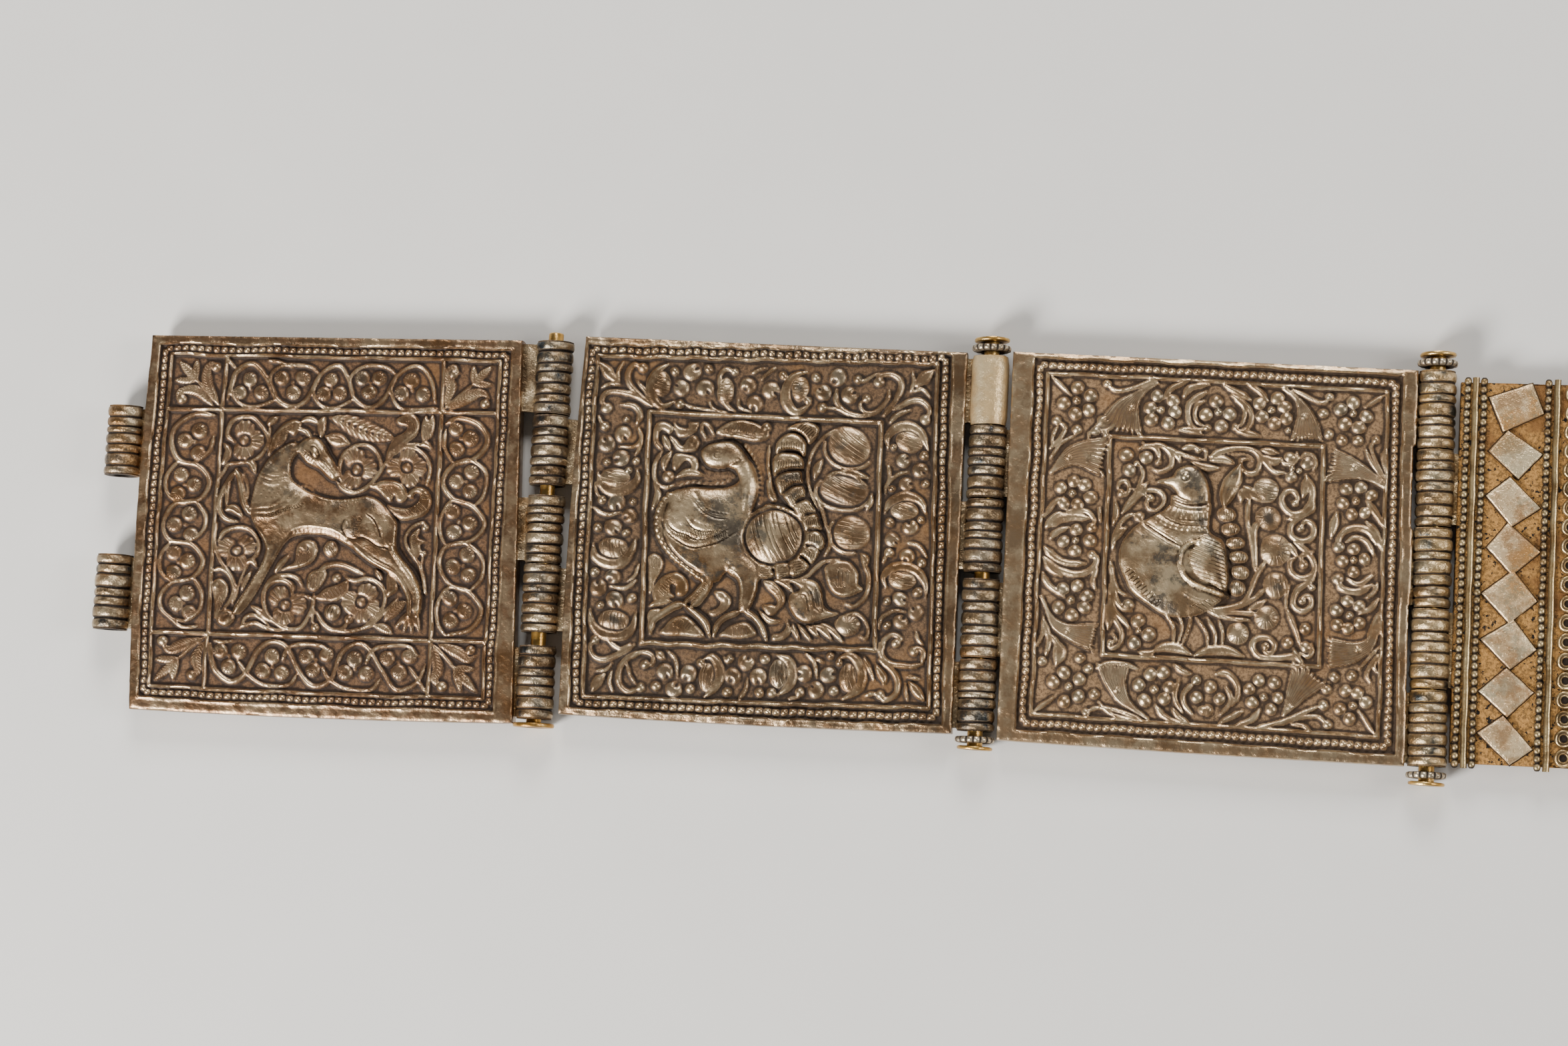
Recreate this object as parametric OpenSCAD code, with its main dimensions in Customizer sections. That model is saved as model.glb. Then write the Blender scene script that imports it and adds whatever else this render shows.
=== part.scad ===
// Hinged silver waist belt, lying flat with its chased faces up.
// The belt runs along X, the hinge axes run along Y, and Z is up from the surface it lies on.

/* [Plaques] */
// Height of a square plaque, along the hinges
plaque_h = 70; // [69:0.5:71]
// Thickness of the plate under the relief
plate_t = 3.2; // [2.6:0.1:3.6]
// Height of the plain margin round the plate, above its ground
margin_rise = 0.7; // [0.4:0.1:0.9]
// Height of the thin border ridges, above the ground
ridge_rise = 0.95; // [0.6:0.05:1.2]
// Width of a thin border ridge
ridge_w = 0.8; // [0.6:0.1:1.2]
// Height of the vines and leaves, above the ground
vine_rise = 0.6; // [0.3:0.1:0.8]
// Height of the berries and round leaves, above the ground
berry_rise = 0.85; // [0.5:0.05:1.1]
// Height of the animal in the middle, above the ground
figure_rise = 1.5; // [1:0.1:1.8]

/* [Hinges] */
// Outer radius of a hinge knuckle
knuckle_r = 3.6; // [3.4:0.1:3.7]
// Depth of the grooves turned round a knuckle
groove_depth = 0.35; // [0.2:0.05:0.5]
// Width of one groove
groove_w = 0.5; // [0.3:0.1:0.7]
// Radius of the hinge bores
bore_r = 1.5; // [1.4:0.1:1.7]
// Radial play between a pin and its bore
pin_play = 0.1; // [0.05:0.01:0.12]
// Space between a knuckle and the neighbouring plate
side_gap = 0.35; // [0.3:0.05:0.5]
// Space between the ends of two knuckles
end_gap = 0.3; // [0.2:0.05:0.4]

/* [Pins and collars] */
// Outer radius of the loose washers on the end hinges
washer_r = 3.9; // [3.8:0.05:4]
// Radius of the discs that head the other pins
head_r = 3.3; // [3:0.1:3.5]
// Radius of a beaded collar over its beads
collar_r = 3.7; // [3.5:0.05:3.8]
// Thickness of a washer or a disc
disc_t = 0.9; // [0.7:0.1:1.1]

/* [Center plate] */
// Distance between the two hinge axes of the center plate
center_w = 124; // [120:1:130]
// Thickness of the center plate under its wires
center_t = 2.8; // [2.4:0.1:3.2]
// Diameter of a beaded wire
bead_wire_d = 1.25; // [1:0.05:1.4]
// Diameter of a plain wire
plain_wire_d = 1; // [0.8:0.05:1.1]
// Width of a lozenge across its points
lozenge_w = 9.4; // [8:0.1:9.6]
// Outer diameter of a soldered ring
ring_d = 3.4; // [3:0.1:3.4]

/* [Hidden] */

$fn = 32;
silver = "#b3a089";
brass = "#b59a5a";

axis_z = washer_r;
plate_z = axis_z - 2.1;
ground_z = plate_z + plate_t;
center_ground_z = plate_z + center_t;
half_h = plaque_h / 2;
sunk = 0.6;

// Hinge axes along the belt, from the free left end (0) to the pinned right end (7)
SPANS = [82.3, 81.3, 80];
axis_3 = -center_w / 2;
axis_2 = axis_3 - SPANS[2];
axis_1 = axis_2 - SPANS[1];
axis_0 = axis_1 - SPANS[0];
AXES = [axis_0, axis_1, axis_2, axis_3, -axis_3, -axis_2, -axis_1, -axis_0];

// Ends of the knuckles of each hinge, a row for each hinge.
// Columns: top and bottom of knuckles 1 to 5, counted from the top edge.
function even_row(k) = [half_h - k * plaque_h / 5, half_h - (k + 1) * plaque_h / 5 + end_gap];
EVEN = [for (k = [0:4]) even_row(k)];
KNUCKLES = [
    [EVEN[0], [20.4, 7.2], EVEN[2], [-7.9, -22], EVEN[4]],
    [[35, 21.4], [21.1, 8.1], [6.1, -6.4], [-6.7, -19.2], [-21.7, -35.2]],
    [[34.6, 22], [21.7, 8.6], [8.3, -4.9], [-6.2, -20.5], [-20.8, -33.7]],
    [[34.2, 20.3], [20, 6.3], [6, -8.2], [-8.5, -22.6], [-22.9, -36.3]],
    EVEN, EVEN, EVEN, EVEN
];

// Corners of each plate: top left, top right, bottom right, bottom left.
// Columns: gap from the hinge axis, and shift along the hinge from the true square.
CUT_ANTELOPE = [[4.7, -1], [6.2, 0], [3.8, -0.7], [5.5, -1.1]];
CUT_PEACOCK = [[7.1, 1.1], [4.4, 0.1], [4.2, 1.2], [5.2, 1.7]];
CUT_PARROT = [[4.1, 0.5], [3.5, -0.8], [4, -1.2], [4.1, 0.1]];
CUT_CENTER = [[4.3, -2.6], [4.3, -2.6], [3.8, -0.4], [3.8, -0.4]];
CUT_EVEN = [[4.4, 0], [4.4, 0], [4.4, 0], [4.4, 0]];
function corners(xl, xr, cut) = [
    [xl + cut[0][0], half_h + cut[0][1]],
    [xr - cut[1][0], half_h + cut[1][1]],
    [xr - cut[2][0], -half_h + cut[2][1]],
    [xl + cut[3][0], -half_h + cut[3][1]]
];

// A point of the face: u runs from left to right and v from top to bottom, in hundredths of it
function at(c, p) =
    let (u = p[0] / 100, v = p[1] / 100)
    (1 - v) * ((1 - u) * c[0] + u * c[1]) + v * ((1 - u) * c[3] + u * c[2]);
function quad(c, q) = [for (p = q) at(c, p)];
unit = plaque_h / 100;
// An even square frame on the face, m hundredths in from each side
function inset(m) = [[m, m], [100 - m, m], [100 - m, 100 - m], [m, 100 - m]];

// Knuckle, drawn downwards from its top end, with flat bands between turned grooves
module knuckle(x, row, bands) {
    length = row[0] - row[1];
    band = length / bands;
    low = knuckle_r - groove_depth;
    grooves = [for (i = [1:1:bands - 1]) each [
        [knuckle_r, i * band - groove_w / 2],
        [low, i * band - groove_w / 2],
        [low, i * band + groove_w / 2],
        [knuckle_r, i * band + groove_w / 2]
    ]];
    translate([x, row[0], axis_z]) rotate([90, 0, 0])
        rotate_extrude()
            polygon(concat([[0, 0], [knuckle_r, 0]], grooves, [[knuckle_r, length], [0, length]]));
}

// Web of metal that joins a knuckle to its own plate, towards side 1 (right) or -1 (left)
module web(x, row, side) {
    reach = 8;
    translate([side > 0 ? x : x - reach, row[1] + 0.4, plate_z + 0.3])
        cube([reach, row[0] - row[1] - 0.8, 2.9]);
}

// Knuckles of one hinge that belong to a plate on that side of the axis
module knuckle_set(hinge, side, bands = 7) {
    first = side > 0 ? 1 : 0;
    for (k = [first:2:4]) {
        plain = hinge == 2 && k == 0;
        knuckle(AXES[hinge], KNUCKLES[hinge][k], plain ? 1 : bands);
        web(AXES[hinge], KNUCKLES[hinge][k], side);
    }
}

// Room that the plate leaves for its neighbour's knuckles, and the bore of the hinge
module hinge_room(hinge, side) {
    first = side > 0 ? 0 : 1;
    for (k = [first:2:4]) {
        row = KNUCKLES[hinge][k];
        open_top = k == 0 ? 3 : end_gap;
        open_bottom = k == 4 ? 3 : end_gap;
        translate([AXES[hinge], row[0] + open_top, axis_z]) rotate([90, 0, 0])
            cylinder(r = knuckle_r + side_gap, h = row[0] - row[1] + open_top + open_bottom);
    }
}
module hinge_bore(hinge) {
    translate([AXES[hinge], half_h + 5, axis_z]) rotate([90, 0, 0])
        cylinder(r = bore_r, h = plaque_h + 10);
}

// Flat plate of a link
module plate(c, thickness) {
    translate([0, 0, plate_z]) linear_extrude(thickness) polygon(c);
}

// Border between an outer and an inner outline of the face
module border(c, outer, inner, rise) {
    translate([0, 0, ground_z - sunk]) linear_extrude(sunk + rise)
        difference() {
            polygon(quad(c, outer));
            polygon(quad(c, inner));
        }
}

// Thin ridge along an outline of the face, its width measured inwards
module ridge(c, q, rise = ridge_rise) {
    w = ridge_w / unit;
    border(c, q, [q[0] + [w, w], q[1] + [-w, w], q[2] + [-w, -w], q[3] + [w, -w]], rise);
}

// Straight ridge from one point of the face to another
module bar(c, a, b, rise = ridge_rise - 0.1, w = ridge_w) {
    p = at(c, a);
    q = at(c, b);
    along = (q - p) / norm(q - p);
    side = [-along[1], along[0]] * w / 2;
    translate([0, 0, ground_z - sunk]) linear_extrude(sunk + rise)
        polygon([p + side, q + side, q - side, p - side]);
}

// Low dome of radius r, in hundredths of the face
module berry(c, p, r, rise = berry_rise) {
    base = r * unit;
    ball = (base * base + rise * rise) / (2 * rise);
    m = at(c, p);
    translate([m[0], m[1], ground_z]) intersection() {
        translate([0, 0, rise - ball]) sphere(ball);
        translate([0, 0, -sunk]) cylinder(r = base, h = 2 * sunk + rise);
    }
}

// Loop of vine round a group of berries
module vine_loop(c, p, r) {
    m = at(c, p);
    translate([m[0], m[1], ground_z - sunk]) difference() {
        cylinder(r = r * unit, h = sunk + vine_rise);
        translate([0, 0, -1]) cylinder(r = (r - 0.9) * unit, h = sunk + vine_rise + 2);
    }
}

// Pointed leaf from a stalk to a tip, widest in the middle
module leaf(c, stalk, tip, width, rise = vine_rise) {
    steps = 5;
    across = [-(tip - stalk)[1], (tip - stalk)[0]] / norm(tip - stalk) * width / 2;
    function edge(t, s) = stalk + (tip - stalk) * t + across * s * sin(180 * t);
    out = [for (i = [0:steps]) edge(i / steps, 1)];
    back = [for (i = [1:steps - 1]) edge(1 - i / steps, -1)];
    translate([0, 0, ground_z - sunk]) linear_extrude(sunk + rise)
        polygon(quad(c, concat(out, back)));
}

// Raised shape with a drawn outline
module shape(c, outline, rise = figure_rise) {
    translate([0, 0, ground_z - sunk]) linear_extrude(sunk + rise) polygon(quad(c, outline));
}

// Band that follows a line of points and has a width at each of them
// Columns of a row: u, v, width
module band(c, rows, rise) {
    n = len(rows) - 1;
    function way(i) =
        let (a = rows[max(i - 1, 0)], b = rows[min(i + 1, n)], d = [b[0] - a[0], b[1] - a[1]])
        [-d[1], d[0]] / norm(d) * rows[i][2] / 2;
    left = [for (i = [0:n]) [rows[i][0], rows[i][1]] + way(i)];
    right = [for (i = [n:-1:0]) [rows[i][0], rows[i][1]] - way(i)];
    shape(c, concat(left, right), rise);
}

// A link of the chain: its relief, plate, knuckles and bores.
// Hinge h is on its left and hinge h + 1 on its right.
module link(h, c, thickness) {
    difference() {
        union() {
            difference() {
                union() {
                    plate(c, thickness);
                    children();
                }
                hinge_room(h, 1);
                hinge_room(h + 1, -1);
            }
            knuckle_set(h, 1);
            knuckle_set(h + 1, -1);
        }
        hinge_bore(h);
        hinge_bore(h + 1);
    }
}

// Three berries round a middle, with a loop of vine. turn is 1 for one berry up, -1 for down
module trefoil(c, p, turn, r = 1.75) {
    for (i = [0:2])
        berry(c, p + 2.5 * [sin(120 * i), -turn * cos(120 * i)], r);
    vine_loop(c, p, 5.3);
}

// Three pointed leaves that spread from the inner corner of a corner square
module corner_spray(c, root, way) {
    for (tip = [[12, 12], [3.5, 12.5], [12.5, 3.5]])
        leaf(c, root + way, root + [way[0] * tip[0], way[1] * tip[1]], 3.2);
}

// Round flower of petals round a middle
module flower(c, p, r, petals = 5) {
    for (i = [1:petals])
        berry(c, p + 0.58 * r * [sin(360 * i / petals), cos(360 * i / petals)], 0.42 * r, vine_rise);
    berry(c, p, 0.25 * r);
}

module antelope_relief(c) {
    outer = [[2.3, 1.9], [97.8, 2.2], [95.4, 97.3], [2, 97.2]];
    inner = [[5.8, 4.9], [94.6, 5.4], [92.4, 94.2], [5, 94]];
    border(c, inset(0), outer, margin_rise);
    ridge(c, outer);
    ridge(c, inner, ridge_rise - 0.05);
    bar(c, [20.7, 5.5], [19.6, 93.6]);
    bar(c, [79.4, 5.8], [78.2, 93.6]);
    bar(c, [6.2, 19.9], [93.6, 19.4], ridge_rise - 0.15);
    bar(c, [5.4, 79.8], [92.4, 79.6], ridge_rise - 0.15);
    for (i = [0:4]) {
        turn = i % 2 == 0 ? 1 : -1;
        trefoil(c, [27.3 + 10.7 * i, 12.5], turn);
        trefoil(c, [26.5 + 10.8 * i, 86.5], -turn);
        trefoil(c, [12.7, 28 + 10.9 * i], -turn);
        trefoil(c, [86, 27.2 + 11 * i], turn);
    }
    corner_spray(c, [19.8, 19.2], [-1, -1]);
    corner_spray(c, [79.8, 19], [1, -1]);
    corner_spray(c, [79, 80.4], [1, 1]);
    corner_spray(c, [19.2, 80.4], [-1, 1]);
    // Flowers round the animal. Columns: u, v, radius
    for (f = [[27, 27, 4.6], [26.6, 57, 4.2], [40, 71.5, 4.8], [60.4, 70, 4.6], [56.8, 35.2, 4.8],
        [71.2, 34.4, 4.8]])
        flower(c, [f[0], f[1]], f[2]);
    // Neck, head, body, hind leg and foreleg of the antelope, round from the chest
    shape(c, [
        [29.7, 47.5], [30, 42], [31.2, 37], [34.5, 31.8], [39, 28.3], [44.5, 26.6],
        [47.8, 29], [52.3, 36.8], [51.3, 38], [47, 34.6], [43.8, 31.6], [41, 31.8],
        [39.8, 35.3], [40.8, 38.8], [44, 41.4], [50, 43.3], [56, 43.5], [61, 42.7],
        [65, 44.6], [68.3, 48.5], [68.8, 54], [70.3, 59.3], [73.4, 63.4], [75.8, 69],
        [75.7, 74], [74.6, 77.3], [69.8, 77], [72.2, 73.2], [73, 69.6], [70, 64.6],
        [65.6, 60.8], [60, 58], [56.5, 55.8], [51, 53.8], [46, 53], [41.5, 54],
        [38.5, 56.5], [35.8, 61.5], [32.5, 68.5], [28.3, 74], [24.6, 77.2], [22, 76],
        [25.8, 73], [30.4, 65.6], [33.6, 59.8], [34, 56], [31.4, 51.5]
    ]);
    // Raised foreleg and tail. Columns: u, v, width
    band(c, [[29.5, 48.5, 2.4], [27, 43, 2.6], [24.8, 37.4, 2.6], [22.6, 42, 2], [22.8, 47, 2.4],
        [26, 49.4, 2.6]], vine_rise + 0.2);
    band(c, [[67.8, 46, 2], [72, 46.4, 2.6], [75.6, 45, 2.8], [76, 41.8, 2.2], [73.4, 41.4, 2]],
        vine_rise + 0.25);
}

module peacock_relief(c) {
    outer = [[0.6, 1.8], [96.6, 0.4], [98, 98.4], [2.4, 98.6]];
    inner = [[3.6, 4.9], [92.6, 3.2], [94.2, 93.8], [6, 95.2]];
    panel = [[18.3, 19.4], [78.6, 19.6], [79.8, 79.6], [20.2, 80.7]];
    border(c, inset(0), outer, margin_rise);
    ridge(c, outer);
    ridge(c, inner, ridge_rise - 0.05);
    ridge(c, panel, ridge_rise - 0.1);
    // Berries of the border. Columns: u, v, radius
    for (b = [[28.7, 8.2, 2.3], [26, 12.4, 2.1], [32.4, 12.2, 2.2], [43.4, 10.9, 2.2],
        [45.6, 15.8, 2.2], [49.7, 12.3, 1.8], [63.2, 11.7, 2.2], [66.7, 7.9, 2.3],
        [70.3, 12.2, 2], [7.7, 28.2, 2.3], [12, 25.5, 2.1], [12, 32.2, 2.1], [11.6, 43.5, 2.2],
        [15, 47.6, 2.2], [11, 50, 2.1], [12, 63, 1.9], [8.2, 66.6, 2.2], [12.7, 69.6, 2.2],
        [89.3, 32, 1.8], [85.4, 35.8, 1.7], [82.8, 50.3, 2.2], [87.4, 47.1, 2.2],
        [86.6, 54.4, 2], [85.3, 65.5, 1.8], [89.5, 68.7, 1.9], [26.7, 87.6, 2.2],
        [32.9, 87.8, 2.1], [43.9, 87.5, 2.2], [47.4, 83.8, 2.1], [50.6, 87.5, 2.2],
        [62.3, 86.6, 2.2], [68.5, 86.6, 2.1], [65.6, 90.6, 2]])
        berry(c, [b[0], b[1]], b[2]);
    // Curled leaves of the border. Columns: u and v of the stalk, u and v of the tip, width
    for (s = [[19.4, 16.5, 21.6, 6.4, 4.4], [38.6, 17, 38.4, 7, 3.6], [58.5, 16.8, 56.8, 6.6, 4.6],
        [8, 36.6, 16.6, 37.4, 5], [8, 56.6, 16.6, 56.8, 6], [8.2, 75.6, 17.2, 74, 6],
        [81, 24.6, 89.6, 22.4, 5], [81, 43, 89.8, 41.2, 5], [81.4, 61, 91, 60.4, 6],
        [37.6, 93, 38.8, 82.4, 5], [56, 82.6, 57.4, 92.4, 5], [73.4, 82.4, 75.6, 92, 5]])
        leaf(c, [s[0], s[1]], [s[2], s[3]], s[4]);
    corner_spray(c, [18, 19], [-1, -1]);
    corner_spray(c, [79.6, 19], [1, -1]);
    corner_spray(c, [80.6, 80.6], [1, 1]);
    corner_spray(c, [19.4, 81.4], [-1, 1]);
    // Body, neck and thighs of the peacock, round from the breast
    shape(c, [
        [21.5, 48], [22.6, 42.6], [27, 39.2], [34, 37.8], [39.6, 36.8], [41.6, 34.6],
        [36.4, 34.2], [32.6, 31.4], [33.2, 27.8], [37, 26], [41.4, 26], [45, 29],
        [47.4, 34], [48.2, 40], [46.4, 46], [44.6, 50], [45.4, 56], [49.4, 62],
        [48.8, 66], [46.6, 70.6], [44.8, 70.6], [45, 65], [43, 60.6], [41, 60],
        [39.4, 63.4], [33.4, 70.6], [31, 69.6], [35.4, 64], [30.4, 60.6], [25.4, 57],
        [22.4, 53]
    ]);
    // Tail with its broad end up. Columns: u, v, width
    band(c, [[48.6, 59.6, 3.4], [55, 60, 4.6], [61, 57.6, 5], [63.4, 51, 5.4], [60.8, 44.4, 5.8],
        [56.8, 38.4, 6.8], [55, 31.6, 7.4], [56.6, 26, 7.6], [61, 23, 4]], figure_rise - 0.2);
    // Feet. Columns: u, v, width
    band(c, [[22.4, 78, 1.6], [26, 73, 2], [31, 70, 2.2], [36, 74.6, 2], [37.4, 78, 1.6]],
        vine_rise + 0.3);
    band(c, [[38, 77.6, 1.6], [41, 73, 2], [45.6, 70.8, 2.2], [50.4, 74.4, 2], [52.4, 78, 1.6]],
        vine_rise + 0.3);
    berry(c, [52.4, 50.7], 7.2, figure_rise - 0.1);
    // Round leaves beside the tail. Columns: u, v, radius
    for (b = [[70.8, 26.4, 5.2], [69.8, 38, 5], [72, 50, 4.8], [70.6, 60.8, 4.8], [62, 68, 4.6]])
        berry(c, [b[0], b[1]], b[2], figure_rise - 0.4);
}

// Rosette of berries round a small middle one
module rosette(c, p, r, berries = 5, size = 1.5) {
    for (i = [1:berries])
        berry(c, p + r * [sin(360 * i / berries), -cos(360 * i / berries)], size);
    berry(c, p, 0.8, vine_rise);
}

module parrot_relief(c) {
    outer = [[5.1, 0.8], [96.8, 1], [98.2, 97.8], [4.2, 97.4]];
    inner = [[9, 5], [92.9, 5.6], [93.6, 93.2], [8.2, 92.9]];
    panel = [[23.6, 20], [78.6, 20.2], [79.6, 77.6], [24.2, 78]];
    border(c, inset(0), outer, margin_rise);
    ridge(c, outer);
    ridge(c, inner, ridge_rise - 0.05);
    ridge(c, panel, ridge_rise - 0.1);
    bar(c, [9.8, 6], [15, 10.8], ridge_rise - 0.2);
    bar(c, [92.4, 6.2], [87, 10.6], ridge_rise - 0.2);
    bar(c, [93, 92.6], [88.6, 87], ridge_rise - 0.2);
    bar(c, [9, 92.2], [14.4, 88], ridge_rise - 0.2);
    // Rosettes of the border. Columns: u, v
    for (p = [[16.4, 12.2], [37.4, 11.8], [51.2, 13.4], [64.6, 11.8], [84.6, 12.2], [16.4, 34.8],
        [17.2, 48], [17, 63.4], [86, 34.4], [86, 48.6], [85.6, 63.4], [16.6, 85.4], [38.6, 84.8],
        [52, 85.4], [65.2, 84.6], [87, 85]])
        rosette(c, [p[0], p[1]], 3.4);
    // Fans of the border. Columns: u and v of the stalk, u and v of the tip, width
    for (s = [[36, 6.4, 27.4, 19, 7], [66, 6.4, 76.6, 19, 7], [10, 33, 22.4, 25, 6],
        [92.4, 32, 80.4, 23.6, 6], [10.4, 62, 22.4, 72.6, 6], [92, 64, 81.4, 73.4, 6],
        [38, 92.4, 27.6, 80.4, 7], [62, 92.4, 75, 80.6, 7]])
        leaf(c, [s[0], s[1]], [s[2], s[3]], s[4]);
    // Head, body and wing side of the parrot, round from the crown
    shape(c, [
        [42.2, 27.6], [46, 27.8], [49, 31.6], [50.2, 37], [50, 43.6], [54, 46],
        [55.4, 50], [55.4, 60.6], [51, 63.6], [46.6, 65], [40.6, 65], [35, 61.8],
        [30.4, 57.4], [28.4, 51.4], [30, 46], [35, 41.8], [40.4, 39], [40.8, 34.6],
        [39, 32.4], [37.2, 31.2], [39.8, 30.4]
    ]);
    berry(c, [49.6, 51.6], 6.2, figure_rise + 0.35);
    // Upright tail. Columns: u, v, width
    band(c, [[57.8, 60, 5], [57.4, 48, 5], [55, 38, 4.6], [54.8, 33, 4.2], [56.4, 27, 1.2]],
        figure_rise - 0.3);
    // Berries on stems behind the tail. Columns: u, v, radius
    for (b = [[64.4, 31.6, 3.6], [64.8, 39.4, 3.4], [67, 47.6, 3.9], [68, 56.6, 3.8], [65, 64.8, 3.4],
        [58.4, 69, 3.2]])
        berry(c, [b[0], b[1]], b[2], figure_rise - 0.4);
    // Legs and feet. Columns: u, v, width
    for (x = [44, 53])
        band(c, [[x - 1, 64.6, 3.4], [x, 69, 2.6], [x, 72.6, 2.8], [x + 0.4, 75, 6]],
            vine_rise + 0.35);
    // Small berries in the corners of the panel. Columns: u, v
    for (p = [[29, 26], [34.2, 25.6], [30.4, 29.8], [33.8, 67.8], [36.6, 71], [33, 73.4],
        [74.6, 25.6], [70, 23.6], [70.2, 29], [74.6, 67.4], [71, 71], [75.2, 72]])
        berry(c, [p[0], p[1]], 1.5);
}

// Wire laid along the plate, half sunk in it. x_top and x_bottom are its two ends
module laid_wire(x_top, x_bottom, d, y_top, y_bottom) {
    lean = atan2(x_bottom - x_top, y_top - y_bottom);
    translate([x_top, y_top, center_ground_z + d / 4]) rotate([90, 0, lean])
        cylinder(d = d, h = norm([x_bottom - x_top, y_top - y_bottom]));
}

// Bands of the center plate, mirrored at its right end.
// Offsets are measured from the plate's side edge towards its middle
BAND_BEAD_1 = 1;
BAND_PLAIN_1 = 2.5;
BAND_BEAD_2 = 3.9;
BAND_LOZENGE = 9.6;
BAND_BEAD_3 = 15.1;
BAND_PLAIN_2 = 16.7;
BAND_RING = 19.6;
BAND_PLAIN_3 = 22.4;
BAND_BEAD_4 = 23.8;

module center_band(side) {
    x_top = side * (center_w / 2 - CUT_CENTER[0][0]);
    x_bottom = side * (center_w / 2 - CUT_CENTER[3][0]);
    y_top = half_h + CUT_CENTER[0][1] + 0.9;
    y_bottom = -half_h + CUT_CENTER[3][1] - 0.9;
    long = y_top - y_bottom;
    function x_at(offset, t) = (1 - t) * x_top + t * x_bottom - side * offset;
    // Columns: offset and diameter
    for (w = [[BAND_BEAD_1, bead_wire_d], [BAND_PLAIN_1, plain_wire_d], [BAND_BEAD_2, bead_wire_d],
        [BAND_BEAD_3, bead_wire_d], [BAND_PLAIN_2, plain_wire_d], [BAND_PLAIN_3, plain_wire_d],
        [BAND_BEAD_4, bead_wire_d]])
        laid_wire(x_at(w[0], 0), x_at(w[0], 1), w[1], y_top, y_bottom);
    lozenges = 8;
    pitch = (long - 2) / lozenges;
    for (i = [0:lozenges - 1]) {
        y = y_top - 1 - (i + 0.5) * pitch;
        x = x_at(BAND_LOZENGE, (i + 0.5) / lozenges);
        translate([x, y, center_ground_z - sunk]) linear_extrude(sunk + 0.75)
            polygon([[-lozenge_w / 2, 0], [-0.6, pitch / 2 - 0.4], [0.6, pitch / 2 - 0.4],
                [lozenge_w / 2, 0], [0.6, -pitch / 2 + 0.4], [-0.6, -pitch / 2 + 0.4]]);
    }
    for (i = [0:lozenges - 2])
        translate([x_at(BAND_LOZENGE, (i + 1) / lozenges), y_top - 1 - (i + 1) * pitch,
            center_ground_z - sunk / 2 + 0.3])
            cube([1.1, 1.4, sunk + 0.6], center = true);
    rings = 20;
    for (i = [0:rings - 1]) {
        t = (i + 0.5) / rings;
        translate([x_at(BAND_RING, t), y_top - 0.8 - t * (long - 1.6), center_ground_z - sunk])
            difference() {
                cylinder(d = ring_d, h = sunk + 0.8);
                translate([0, 0, sunk]) cylinder(d = ring_d - 1.5, h = 2);
            }
    }
}

module plaque_antelope_left() {
    c = corners(AXES[0], AXES[1], CUT_ANTELOPE);
    color(silver) link(0, c, plate_t) antelope_relief(c);
}
module plaque_peacock_left() {
    c = corners(AXES[1], AXES[2], CUT_PEACOCK);
    color(silver) link(1, c, plate_t) peacock_relief(c);
}
module plaque_parrot_left() {
    c = corners(AXES[2], AXES[3], CUT_PARROT);
    color(silver) link(2, c, plate_t) parrot_relief(c);
}
module center_plate() {
    c = corners(AXES[3], AXES[4], CUT_CENTER);
    color(brass) link(3, c, center_t) {
        center_band(-1);
        center_band(1);
    }
}
module plaque_parrot_right() {
    c = corners(AXES[4], AXES[5], CUT_EVEN);
    color(silver) link(4, c, plate_t) parrot_relief(c);
}
module plaque_peacock_right() {
    c = corners(AXES[5], AXES[6], CUT_EVEN);
    color(silver) link(5, c, plate_t) peacock_relief(c);
}
module plaque_antelope_right() {
    c = corners(AXES[6], AXES[7], CUT_EVEN);
    color(silver) link(6, c, plate_t) antelope_relief(c);
}

// Turned solid on a hinge axis, from y_top downwards
module on_axis(hinge, y_top) {
    translate([AXES[hinge], y_top, axis_z]) rotate([90, 0, 0]) children();
}

// Ends of the row of knuckles on a hinge
function top_of(hinge) = KNUCKLES[hinge][0][0];
function bottom_of(hinge) = KNUCKLES[hinge][4][1];
collar_t = 1.3;
collar_gap = 0.9;
head_gap = 0.4;
washer_gap = 0.7;
bare_end = 1.8;

// Pin of an end hinge: bare at the top, with a flat washer under the last knuckle
module washer_pin(hinge) {
    top = top_of(hinge) + bare_end;
    foot = bottom_of(hinge) - washer_gap;
    color(brass) {
        on_axis(hinge, top) cylinder(r = bore_r - pin_play, h = top - foot + disc_t);
        on_axis(hinge, foot) cylinder(r = washer_r, h = disc_t);
    }
}

// Pin with a disc at each end, and room for a collar under each disc
function head_foot(hinge) = bottom_of(hinge) - collar_gap - collar_t - head_gap;
module headed_pin(hinge, top) {
    foot = head_foot(hinge);
    color(brass) {
        on_axis(hinge, top) cylinder(r = bore_r - pin_play, h = top - foot);
        on_axis(hinge, top + disc_t) cylinder(r = head_r, h = disc_t);
        on_axis(hinge, foot) cylinder(r = head_r, h = disc_t);
    }
}

// Ring of beads that is loose on the pin, its top end at y_top
module collar(hinge, y_top) {
    beads = 16;
    bead_r = 0.55;
    color(silver) on_axis(hinge, y_top) difference() {
        union() {
            cylinder(r = collar_r - 1.4 * bead_r, h = collar_t);
            for (i = [1:beads])
                rotate(360 * i / beads) translate([collar_r - bead_r, 0, collar_t / 2])
                    sphere(bead_r);
        }
        translate([0, 0, -1]) cylinder(r = bore_r, h = collar_t + 2);
    }
}
module collar_top(hinge) {
    collar(hinge, top_of(hinge) + collar_gap + collar_t);
}
module collar_bottom(hinge) {
    collar(hinge, bottom_of(hinge) - collar_gap);
}

module hinge_pin(hinge) {
    headed_pin(hinge, top_of(hinge) + collar_gap + collar_t + head_gap);
}
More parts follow.
